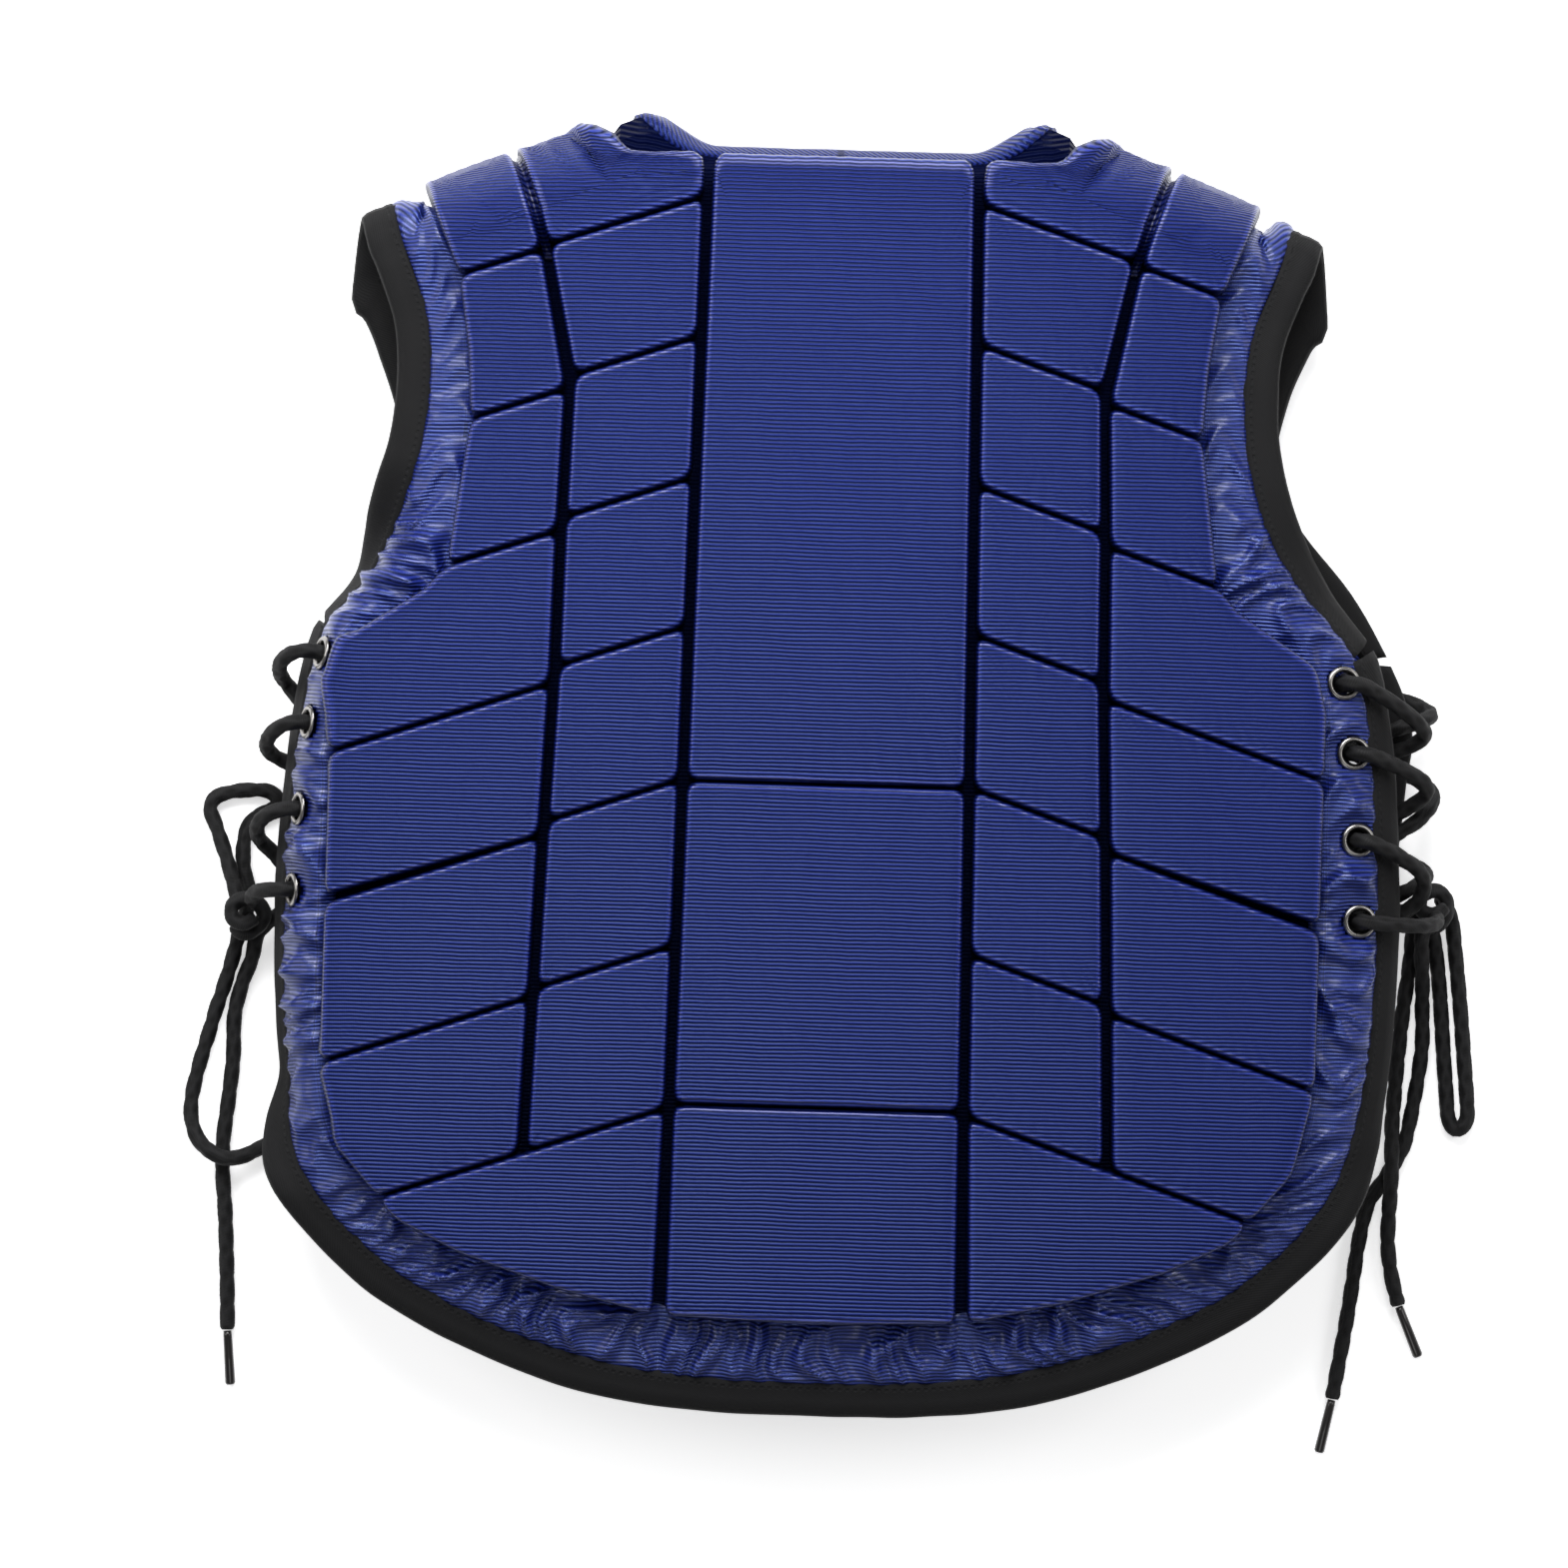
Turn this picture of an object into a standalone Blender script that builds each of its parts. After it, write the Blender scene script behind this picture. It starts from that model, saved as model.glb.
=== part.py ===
"""Riding body protector for a child, laid on its front with its back panel up.

Every piece is drawn flat on the opened-out pattern of the vest and is then laid over the form:
across is measured from the spine, along from the middle of the back, and rise outwards from the
cloth. Past the shoulder crest the same pattern runs over the fold and back down the front panel.
The floor is z = 0, +X is the right of the back panel as seen from above, +Y points to the neck.
At the end everything is moved sideways, so that the middle of the vest's box is over the origin.
"""

import math

import bmesh
import bpy
from mathutils import Matrix, Vector

# Driving sizes, in metres
HALF_WIDTH = 0.223
HALF_LENGTH = 0.2512
SHELL_WALL = 0.0025
FOAM_THICKNESS = 0.0147
SEAT_GAP = 0.0006
JOIN_GAP = 0.0003
BINDING_GAP = 0.0005
FOLD_RADIUS = 0.013
NECK_CREST = 0.224
NECK_HALF_WIDTH = 0.080
SHOULDER_SLOPE = 0.40
BACK_ARCH = 0.0082
BACK_ARCH_LENGTH = 0.200
HEM_DROP = 0.005
HEM_DROP_START = -0.100
CROWN_RISE = 0.012
BINDING_WIDTH = 0.013
NECK_BINDING_WIDTH = 0.010
BINDING_LIP = 0.0010
BINDING_TURN = 0.16
BINDING_FOLD = [0.20, 0.75]
GROOVE_WIDTH = 0.0038
CREASE_WIDTH = 0.0026
CREASE_SLOPE = 0.34
BLOCK_CORNER = 0.007
BLOCK_EDGE = 0.0030
SHORTEST_SIDE = 0.0045
CORNER_SHARE = 0.42
LEAST_CORNER = 0.30
PAD_EDGE = 0.0035
EYELET_INSET = 0.0072
EYELET_FLANGE = 0.0066
EYELET_BORE = 0.0046
EYELET_BARREL = 0.0050
EYELET_PLATE = 0.0009
EYELET_GAP = 0.00045
FRONT_HOLE_RADIUS = 0.0064
EYELET_SIDES = 10
ZIP_WIDTH = 0.010
ZIP_THICKNESS = 0.0020
LACE_DIAMETER = 0.0062
LACE_LONGEST_STEP = 0.0186
LACE_BEVEL_STEPS = 2
AGLET_DIAMETER = 0.0040
AGLET_CHAMFER = 0.0006
AGLET_SIDES = 12

# Sizes worked out from them
PAD_RISE = SEAT_GAP + FOAM_THICKNESS
FRONT_LEVEL = PAD_RISE
CREST_LEVEL = FRONT_LEVEL + 2 * FOLD_RADIUS
FOLD_LENGTH = math.pi * FOLD_RADIUS
FOLD_STEPS = 9
STATION_STEP = 0.017
ALONG_CELL = 0.040
FRONT_CUT_START = 0.240
FRONT_CUT_STEP = 0.022
FRONT_CUT_COUNT = 18
FRONT_ACROSS_CUTS = [0.62, 0.76, 0.88]
ACROSS_CUTS = [0.20, 0.42, 0.62, 0.81, 0.86, 0.90, 0.95]
SLOPE_STEP = 0.0004
FLAT_ANGLE = 0.01
CUT_MERGE = 1e-7
FOLD_MARGIN = 0.25
BEYOND_FOAM = 2.0
CROSSING_STEPS = 6

# How each side of the laid vest lies: the curl of the back panel's laced edge in radians, the band
# that bends down and the part of it that turns, the sag of the back towards that side, and how far
# the lacing draws in the front panel's edge
SIDES = {
    -1: {"curl": 1.15, "band": 0.034, "turn": 0.014, "sag": 0.003, "draw": 0.034},
    1: {"curl": 0.90, "band": 0.026, "turn": 0.026, "sag": 0.003, "draw": 0.0},
}
CURL_TOP = 0.060
CURL_BOTTOM = -0.175
CURL_FADE = 0.055
LEAST_CURL = 0.01

# The lacing draws the front's edge in: from where across, between which alongs
DRAW_START = 0.55
DRAW_BOTTOM = -0.090
DRAW_TOP = 0.050
DRAW_END = 0.150

# Where the cloth bridges beside the foam on the shoulder fold, as shares of HALF_WIDTH: from and
# to its full rise by the neck, from its full rise and to none there, and the same by the arm
CROWN_SHARES = [0.220, 0.345, 0.390, 0.440, 0.720, 0.770]

# Edges of the cloth inside the bindings, from the spine outwards
# Columns: across as a share of HALF_WIDTH, along as a share of HALF_LENGTH
BACK_NECK_EDGE = [(0.000, 0.934), (0.202, 0.934), (0.296, 0.944), (0.352, 0.968), (0.381, 1.003)]
BACK_ARMHOLE_EDGE = [
    (0.783, 0.823), (0.751, 0.765), (0.717, 0.682), (0.705, 0.605), (0.709, 0.510),
    (0.731, 0.421), (0.765, 0.348), (0.820, 0.276), (0.870, 0.225), (0.906, 0.186),
]
BACK_SIDE_EDGE = [
    (0.906, 0.186), (0.920, 0.150), (0.940, 0.050), (0.952, -0.080), (0.960, -0.200),
    (0.956, -0.360), (0.944, -0.478), (0.926, -0.560), (0.879, -0.657), (0.780, -0.752),
    (0.689, -0.812), (0.522, -0.882), (0.364, -0.926), (0.179, -0.946), (0.000, -0.949),
]
FRONT_NECK_EDGE = [
    (0.387, 0.860), (0.372, 0.780), (0.325, 0.705), (0.235, 0.650), (0.110, 0.622), (0.000, 0.617),
]
FRONT_ARMHOLE_EDGE = [
    (0.772, 0.720), (0.730, 0.630), (0.712, 0.530), (0.735, 0.430), (0.800, 0.345),
    (0.880, 0.262), (0.930, 0.186),
]
FRONT_SIDE_EDGE = [
    (0.930, 0.186), (0.962, 0.115), (0.955, 0.040), (0.940, -0.100), (0.935, -0.240),
    (0.905, -0.470), (0.850, -0.620), (0.762, -0.737), (0.538, -0.850), (0.269, -0.902),
    (0.000, -0.914),
]
NECK_SEAM_ACROSS = 0.390
ARMHOLE_SEAM_ACROSS = 0.794

# Foam blocks under the cloth, right half: the outline of the whole foam area
FOAM_EDGE = [
    (0.000, 0.912), (0.245, 0.912), (0.380, 0.925), (0.440, 0.960), (0.709, 0.868),
    (0.690, 0.800), (0.652, 0.718), (0.636, 0.613), (0.629, 0.507), (0.662, 0.287),
    (0.697, 0.250), (0.836, 0.169), (0.855, 0.100), (0.855, -0.223), (0.855, -0.478),
    (0.821, -0.605), (0.744, -0.685), (0.719, -0.712), (0.605, -0.761), (0.439, -0.810),
    (0.270, -0.846), (0.000, -0.854),
]
# The two grooves between the block columns
CENTRE_GROOVE = [(0.229, 1.200), (0.258, -0.900)]
OUTER_GROOVE = [
    (0.640, 1.150), (0.568, 0.930), (0.503, 0.760), (0.458, 0.574), (0.467, 0.350), (0.471, 0.130),
    (0.482, -0.100), (0.492, -0.353), (0.502, -0.600), (0.510, -0.900),
]
# The creases across the side columns
# Columns: along at the centre groove, step down at the outer groove, both shares of HALF_LENGTH
SIDE_CREASES = [
    (0.852, 0.004), (0.639, 0.018), (0.425, 0.018), (0.200, 0.024),
    (-0.033, 0.020), (-0.285, 0.012), (-0.531, 0.0),
]
CENTRE_CREASES = [-0.031, -0.524]

# Outline of one plain front pad, right half, clear of the zip
FRONT_PAD = [
    (0.060, 0.560), (0.220, 0.600), (0.340, 0.700), (0.420, 0.830), (0.640, 0.750), (0.648, 0.640),
    (0.640, 0.510), (0.670, 0.400), (0.740, 0.300), (0.840, 0.190), (0.862, 0.080), (0.862, -0.420),
    (0.820, -0.560), (0.700, -0.670), (0.480, -0.770), (0.260, -0.815), (0.060, -0.830),
]
PAD_FOLD_START = 0.0285

# Along of the four eyelets of a laced edge, top to bottom, as shares of HALF_LENGTH
EYELET_ROWS = [0.148, 0.041, -0.092, -0.216]

# The laces, each from its knot: the laced run, which goes through every eyelet and ends in a tail,
# and the bow, which is a loop and the other tail
# Columns: x, y, z of the middle of the lace, in millimetres
LACE_ROUTES = {
    "lace_right": [
        (237.5, -50.5, 14.0), (238.6, -53.0, 24.0), (236.5, -54.8, 34.0), (230.0, -55.4, 42.0),
        (221.0, -55.1, 46.8), (214.0, -54.7, 50.0), (209.8, -54.4, 50.4), (207.6, -54.3, 47.3),
        (205.2, -54.3, 38.6), (206.0, -53.0, 33.0), (209.5, -50.6, 28.0),
        (217.0, -46.8, 25.8), (227.0, -42.0, 24.0), (233.5, -38.0, 19.5), (234.0, -34.8, 12.8),
        (227.5, -31.0, 8.3), (216.0, -26.8, 7.6), (207.0, -23.8, 8.4), (203.2, -23.1, 11.8),
        (202.6, -23.1, 16.5), (203.4, -22.6, 21.0), (208.5, -20.0, 24.6), (217.5, -14.8, 25.8),
        (226.5, -9.6, 27.2), (232.0, -5.0, 32.0), (231.5, -0.8, 38.5), (225.0, 3.4, 43.0),
        (216.0, 7.4, 46.4), (209.8, 9.6, 49.6), (205.6, 10.3, 50.3), (203.4, 10.4, 47.3),
        (201.0, 10.2, 38.6), (201.6, 11.4, 33.2), (205.3, 13.8, 28.2),
        (213.5, 17.6, 25.8), (224.0, 21.6, 24.0), (232.5, 24.6, 20.5), (234.5, 27.0, 13.6),
        (229.0, 30.2, 8.4), (217.5, 34.0, 7.6), (208.5, 36.6, 8.4), (204.6, 37.2, 11.8),
        (204.0, 37.2, 16.5), (203.0, 37.1, 21.5), (199.8, 36.8, 27.0), (196.4, 36.7, 33.0),
        (196.3, 36.8, 38.6), (198.7, 37.3, 47.3), (201.0, 37.4, 50.3),
        (205.3, 36.6, 49.8), (211.5, 33.6, 46.8), (220.0, 28.6, 43.6), (228.0, 22.6, 38.0),
        (231.0, 18.0, 31.0), (225.5, 13.6, 26.0), (216.5, 10.6, 24.2), (209.4, 9.5, 23.3),
        (206.2, 10.3, 19.6), (205.8, 10.3, 13.0), (208.0, 9.6, 8.4), (216.0, 7.0, 7.4),
        (226.5, 3.0, 8.6), (234.5, -2.0, 12.0), (236.0, -7.0, 18.0), (231.5, -13.6, 22.6),
        (222.5, -20.0, 24.8), (212.5, -24.8, 27.0), (206.0, -25.4, 30.6), (203.4, -23.9, 35.0),
        (204.9, -23.1, 45.2), (206.4, -23.1, 49.0), (209.5, -23.6, 51.0),
        (214.5, -25.4, 49.4), (221.5, -28.6, 45.4), (229.0, -33.4, 40.0), (232.5, -39.0, 33.6),
        (231.0, -45.6, 28.6), (224.5, -51.2, 25.6), (215.5, -55.2, 24.0), (207.0, -55.4, 23.4),
        (202.3, -54.4, 20.4), (201.5, -54.3, 14.4), (203.6, -54.2, 8.6), (211.5, -53.6, 7.4),
        (223.0, -51.6, 8.4), (229.4, -50.2, 9.2), (231.2, -55.0, 7.2), (230.8, -61.5, 4.6),
        (230.2, -72.0, 3.3), (228.2, -89.0, 3.3), (226.8, -106.0, 3.3), (225.8, -122.0, 3.3),
        (225.1, -134.2, 5.2), (225.0, -143.0, 8.6), (225.0, -151.0, 10.2), (225.0, -159.0, 9.0),
        (224.9, -169.0, 4.8), (225.0, -181.0, 3.3), (226.8, -193.0, 3.3),
        (229.9, -204.4, 3.3),
    ],
    "lace_right_bow": [
        (240.5, -44.5, 8.0), (245.5, -52.0, 5.5), (247.6, -63.8, 3.5), (249.3, -77.0, 3.3),
        (250.9, -91.0, 3.3), (252.5, -107.0, 3.3), (254.1, -123.0, 3.3), (254.3, -131.0, 3.3),
        (250.7, -135.4, 3.3), (247.2, -131.0, 3.3), (246.0, -121.0, 3.3), (244.6, -107.0, 3.3),
        (243.2, -91.0, 3.3), (241.8, -77.0, 3.3), (239.8, -64.0, 5.3), (237.4, -57.2, 9.4),
        (234.2, -58.2, 13.4), (234.0, -66.0, 11.4), (235.0, -76.0, 8.0), (235.6, -88.0, 3.8),
        (236.0, -103.0, 3.3), (233.8, -122.0, 3.3), (230.0, -141.8, 3.2), (223.5, -154.0, 3.2),
        (216.8, -165.3, 3.2), (213.6, -180.0, 3.3), (211.6, -196.6, 3.3), (209.6, -212.0, 3.3),
        (207.3, -227.0, 3.3), (205.0, -241.6, 3.3),
    ],
    "lace_left": [
        (-220.0, -60.5, 15.0), (-221.2, -58.6, 23.5), (-219.5, -56.2, 32.0), (-215.5, -55.0, 38.5),
        (-210.5, -54.5, 41.4), (-206.2, -54.3, 41.0), (-199.6, -54.1, 38.0),
        (-194.0, -53.4, 34.6), (-191.6, -51.6, 29.6), (-193.2, -48.6, 24.0), (-196.5, -45.0, 18.4),
        (-196.8, -41.0, 12.6), (-192.0, -36.5, 8.6), (-183.5, -30.5, 7.6), (-176.0, -25.0, 8.2),
        (-172.8, -23.2, 11.6), (-172.2, -23.1, 16.5), (-173.0, -22.6, 21.4), (-179.5, -19.5, 24.0),
        (-188.5, -15.0, 23.4), (-197.5, -10.5, 17.6), (-206.0, -6.8, 14.2), (-213.5, -3.6, 16.4),
        (-216.8, -0.4, 23.0), (-216.5, 3.0, 31.0), (-213.5, 6.6, 38.2), (-208.8, 9.4, 41.6),
        (-203.6, 10.4, 41.4), (-196.2, 10.1, 38.2), (-190.8, 10.6, 34.8),
        (-188.2, 12.8, 30.0), (-190.6, 17.6, 25.0), (-196.6, 21.2, 19.2), (-199.2, 24.0, 13.6),
        (-195.0, 27.0, 8.8), (-186.0, 31.4, 7.6), (-177.6, 35.8, 8.4), (-173.9, 37.2, 11.8),
        (-173.2, 37.2, 16.5), (-173.8, 37.0, 21.6), (-177.6, 36.3, 27.6), (-183.4, 35.8, 33.0),
        (-189.6, 36.3, 37.1), (-197.0, 37.5, 40.4), (-202.4, 37.9, 42.0),
        (-207.8, 36.6, 40.8), (-211.6, 33.6, 35.6), (-212.8, 30.6, 28.6), (-212.4, 28.0, 21.0),
        (-209.6, 24.0, 15.4), (-203.4, 16.8, 15.0), (-198.6, 13.4, 18.4), (-194.0, 10.6, 22.2),
        (-186.5, 9.6, 24.4), (-178.0, 10.2, 25.4), (-174.5, 10.3, 21.4), (-174.3, 10.3, 13.6),
        (-176.6, 9.6, 8.4), (-184.5, 7.0, 7.4), (-193.5, 3.4, 8.8), (-198.6, -0.6, 13.4),
        (-197.6, -2.8, 19.6), (-194.0, -6.2, 25.6), (-190.0, -12.5, 30.6), (-188.6, -18.6, 33.4),
        (-190.6, -22.8, 35.2), (-196.4, -23.5, 37.2), (-204.0, -23.1, 40.7),
        (-209.2, -23.6, 42.2), (-214.6, -25.6, 41.0), (-218.6, -29.0, 35.6), (-219.6, -32.6, 28.0),
        (-218.6, -36.0, 20.6), (-214.0, -40.6, 15.4), (-208.5, -46.5, 15.0), (-202.0, -51.6, 17.4),
        (-194.5, -55.6, 21.8), (-186.0, -56.6, 23.8), (-176.0, -55.0, 25.6), (-171.8, -54.4, 21.6),
        (-171.4, -54.3, 14.0), (-173.4, -54.4, 8.4), (-181.0, -55.2, 7.4), (-192.0, -57.2, 8.0),
        (-203.5, -60.5, 9.0), (-213.0, -65.5, 9.2), (-219.6, -73.0, 7.2), (-221.6, -82.0, 4.6),
        (-225.2, -92.0, 3.3), (-227.9, -105.0, 3.3), (-227.9, -121.0, 3.3), (-229.2, -137.0, 3.3),
        (-230.8, -153.0, 3.2), (-230.7, -166.0, 3.2), (-229.3, -181.0, 3.3), (-228.3, -197.0, 3.3),
        (-227.5, -213.0, 3.3), (-227.0, -227.4, 3.3),
    ],
    "lace_left_bow": [
        (-226.5, -62.0, 12.0), (-229.5, -53.0, 9.0), (-232.5, -43.6, 6.0), (-237.2, -31.0, 3.8),
        (-239.8, -24.5, 3.3), (-237.8, -19.9, 3.3), (-232.0, -17.6, 3.3), (-224.5, -16.6, 3.3),
        (-217.5, -16.8, 3.4), (-213.4, -20.0, 3.6), (-215.6, -24.0, 3.8), (-221.2, -26.6, 3.8),
        (-225.0, -31.4, 3.8), (-226.4, -39.5, 4.0), (-225.6, -48.5, 4.0), (-223.4, -57.5, 4.8),
        (-224.8, -66.0, 6.0), (-227.2, -74.0, 6.0), (-229.2, -82.4, 5.0), (-232.4, -93.6, 3.6),
        (-235.2, -102.5, 3.3), (-237.6, -111.5, 3.3), (-241.0, -124.0, 3.3), (-243.6, -137.1, 3.6),
        (-243.2, -146.4, 5.2), (-239.4, -154.4, 8.2), (-231.4, -159.8, 10.2), (-223.4, -159.6, 7.8),
        (-216.0, -156.0, 4.6), (-209.4, -153.0, 3.4), (-205.0, -153.7, 3.3), (-202.6, -155.5, 3.3),
    ],
}
# The laces' ends: where the middle of an aglet starts at the lace and where it ends
# Columns: x, y, z in millimetres, twice
AGLET_PLACES = {
    "aglet_right_1": ((230.05, -204.9, 3.2), (238.3, -224.2, 2.1)),
    "aglet_right_2": ((204.9, -242.1, 3.2), (200.6, -262.7, 2.1)),
    "aglet_left_1": ((-226.97, -227.95, 3.2), (-225.3, -248.9, 2.1)),
    "aglet_left_2": ((-202.2, -155.8, 3.2), (-185.4, -168.4, 2.1)),
}
MILLIMETRE = 0.001
# From the spine and the middle of the back to the middle of the vest's box as it lies
BOX_MIDDLE = Vector((0.00708, -0.00070, 0.0))

MATERIALS = {
    "ribbed_satin": ((0.045, 0.065, 0.360), 0.38, 0.0),
    "black_binding": ((0.012, 0.012, 0.014), 0.80, 0.0),
    "dark_nickel": ((0.230, 0.225, 0.220), 0.30, 1.0),
    "lace_cord": ((0.010, 0.010, 0.012), 0.85, 0.0),
    "aglet_film": ((0.030, 0.028, 0.028), 0.35, 0.0),
}


def clear_scene():
    """Empty the scene of its objects."""
    for thing in list(bpy.data.objects):
        bpy.data.objects.remove(thing, do_unlink=True)


def make_materials():
    """One Principled material for each finish."""
    made = {}
    for name, (colour, roughness, metallic) in MATERIALS.items():
        material = bpy.data.materials.new(name)
        material.use_nodes = True
        shader = material.node_tree.nodes["Principled BSDF"]
        shader.inputs["Base Color"].default_value = (*colour, 1.0)
        shader.inputs["Roughness"].default_value = roughness
        shader.inputs["Metallic"].default_value = metallic
        material.diffuse_color = (*colour, 1.0)
        made[name] = material
    return made


# The form that the pattern is laid over

def ramp(value, start, end):
    """A smooth step from 0 at start to 1 at end."""
    share = min(1.0, max(0.0, (value - start) / (end - start)))
    return share * share * (3.0 - 2.0 * share)


def crest(across):
    """Where the back panel starts to turn over, along the pattern."""
    return NECK_CREST - SHOULDER_SLOPE * max(0.0, abs(across) - NECK_HALF_WIDTH)


def side_of(across):
    return SIDES[1 if across >= 0 else -1]


def back_height(across, along):
    """Height of the back cloth above the floor, before its edge curls."""
    share = min(1.0, (crest(across) - along) / BACK_ARCH_LENGTH)
    arch = share * (2.0 - share)
    sag = side_of(across)["sag"] * (across / HALF_WIDTH) ** 2
    below = max(0.0, HEM_DROP_START - along) / (HALF_LENGTH + HEM_DROP_START)
    return CREST_LEVEL + (BACK_ARCH - sag) * arch - HEM_DROP * below ** 2


def edge_reach(rows, along):
    """How far from the spine a side edge of the cloth lies, from its table."""
    share = along / HALF_LENGTH
    for (outer, upper), (inner, lower) in zip(rows, rows[1:]):
        if upper >= share >= lower:
            part = (upper - share) / (upper - lower)
            return (outer + (inner - outer) * part) * HALF_WIDTH
    return HALF_WIDTH


def curl(across, along):
    """Sideways position and drop of a point of the back near a laced edge."""
    side = side_of(across)
    edge = edge_reach(BACK_ARMHOLE_EDGE[4:] + BACK_SIDE_EDGE[1:], along) + BINDING_WIDTH
    start = edge - side["band"]
    past = abs(across) - start
    strength = ramp(along, CURL_BOTTOM, CURL_BOTTOM + CURL_FADE)
    strength *= 1.0 - ramp(along, CURL_TOP, CURL_TOP + CURL_FADE)
    angle = side["curl"] * strength
    if past <= 0.0 or angle < LEAST_CURL:
        return across, 0.0
    radius = side["turn"] / angle
    turned = min(past, side["turn"]) / radius
    straight = max(0.0, past - side["turn"])
    reach = start + radius * math.sin(turned) + straight * math.cos(turned)
    drop = radius * (1.0 - math.cos(turned)) + straight * math.sin(turned)
    return math.copysign(reach, across), drop


def drawn_in(across, along):
    """Sideways position of a point of the front, where the lacing draws its edge in."""
    weight = ramp(abs(across), DRAW_START * HALF_WIDTH, HALF_WIDTH)
    weight *= ramp(along, CURL_BOTTOM, DRAW_BOTTOM) * (1.0 - ramp(along, DRAW_TOP, DRAW_END))
    return math.copysign(abs(across) - side_of(across)["draw"] * weight, across)


def crown(across, angle):
    """Extra radius of the shoulder fold beside the foam, which the cloth bridges."""
    start, full, fading, end, outer, outer_full = (share * HALF_WIDTH for share in CROWN_SHARES)
    beside_neck = ramp(abs(across), start, full) * (1.0 - ramp(abs(across), fading, end))
    beside_arm = ramp(abs(across), outer, outer_full)
    return CROWN_RISE * (beside_neck + beside_arm) * math.sin(angle) ** 4


def skin(across, along):
    """Point of the outer face of the cloth for a point of the pattern."""
    past = along - crest(across)
    if past <= 0.0:
        sideways, drop = curl(across, along)
        return Vector((sideways, along, back_height(across, along) - drop))
    if past < FOLD_LENGTH:
        angle = past / FOLD_RADIUS
        radius = FOLD_RADIUS + crown(across, angle)
        lift = FRONT_LEVEL + FOLD_RADIUS + radius * math.cos(angle)
        return Vector((across, crest(across) + radius * math.sin(angle), lift))
    down = crest(across) - (past - FOLD_LENGTH)
    return Vector((drawn_in(across, down), down, FRONT_LEVEL))


def lay(across, along, rise):
    """World point of a pattern point, rise metres outside the cloth's outer face."""
    over = skin(across + SLOPE_STEP, along) - skin(across - SLOPE_STEP, along)
    up = skin(across, along + SLOPE_STEP) - skin(across, along - SLOPE_STEP)
    return skin(across, along) + rise * over.cross(up).normalized()


def under(across, along):
    """Pattern position of a front panel point whose place seen from above is known."""
    return 2.0 * crest(across) + FOLD_LENGTH - along


# Outlines on the pattern

def scaled(rows):
    return [(across * HALF_WIDTH, along * HALF_LENGTH) for across, along in rows]


def front_scaled(rows):
    return [(across, under(across, along)) for across, along in scaled(rows)]


def mirrored(points):
    return [(-across, along) for across, along in points]


def in_fold(point):
    past = point[1] - crest(point[0])
    return -FOLD_MARGIN * FOLD_RADIUS < past < FOLD_LENGTH + FOLD_MARGIN * FOLD_RADIUS


def between(before, start, end, after, t):
    """Point at the share t between start and end on a Catmull-Rom curve."""
    return tuple(
        b + 0.5 * ((c - a) * t + (2 * a - 5 * b + 4 * c - d) * t * t + (3 * b - a - 3 * c + d) * t ** 3)
        for a, b, c, d in zip(before, start, end, after)
    )


def smooth_through(points):
    """Points along a smooth curve through a table's points, closer together in the fold."""
    ends = [points[0]] + points + [points[-1]]
    samples = []
    for before, start, end, after in zip(ends, ends[1:], ends[2:], ends[3:]):
        length = math.dist(start, end)
        finest = FOLD_LENGTH / FOLD_STEPS
        step = finest if in_fold(start) or in_fold(end) else STATION_STEP
        count = max(1, round(length / step))
        samples += [between(before, start, end, after, index / count) for index in range(count)]
    return samples + [points[-1]]


def seam_point(share):
    across = share * HALF_WIDTH
    return across, crest(across) + FOLD_LENGTH


def back_neck_curve():
    return smooth_through(scaled(BACK_NECK_EDGE) + [seam_point(NECK_SEAM_ACROSS)])


def front_neck_curve():
    return smooth_through([seam_point(NECK_SEAM_ACROSS)] + front_scaled(FRONT_NECK_EDGE))


def back_armhole_curve():
    return smooth_through([seam_point(ARMHOLE_SEAM_ACROSS)] + scaled(BACK_ARMHOLE_EDGE))


def front_armhole_curve():
    return smooth_through([seam_point(ARMHOLE_SEAM_ACROSS)] + front_scaled(FRONT_ARMHOLE_EDGE))


def back_side_curve():
    return smooth_through(scaled(BACK_SIDE_EDGE))


def front_side_curve():
    return smooth_through(front_scaled(FRONT_SIDE_EDGE))


def whole_outline(neck, armhole, side):
    """Closed outline from its right half: spine, neck, seam, armhole, side, hem, spine."""
    right = neck + armhole + side[1:]
    left = mirrored(right)[::-1]
    return right + left[1:-1]


def cross_at(start, end, inside_start, inside_end):
    part = inside_start / (inside_start - inside_end)
    return tuple(a + (b - a) * part for a, b in zip(start, end))


def clip(polygon, start, end, margin):
    """Part of a polygon that lies left of the line from start to end, margin inside it."""
    length = math.dist(start, end)

    def inside(point):
        turn = (end[0] - start[0]) * (point[1] - start[1]) - (end[1] - start[1]) * (point[0] - start[0])
        return turn / length - margin

    kept = []
    for index, point in enumerate(polygon):
        before = polygon[index - 1]
        here, there = inside(point), inside(before)
        if (here >= 0.0) != (there >= 0.0):
            kept.append(cross_at(before, point, there, here))
        if here >= 0.0:
            kept.append(point)
    return kept


def tidied(polygon, shortest):
    """Polygon without points that lie closer together than shortest."""
    kept = []
    for point in polygon:
        if not kept or math.dist(kept[-1], point) > shortest:
            kept.append(point)
    if math.dist(kept[0], kept[-1]) <= shortest:
        kept.pop()
    return kept


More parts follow.
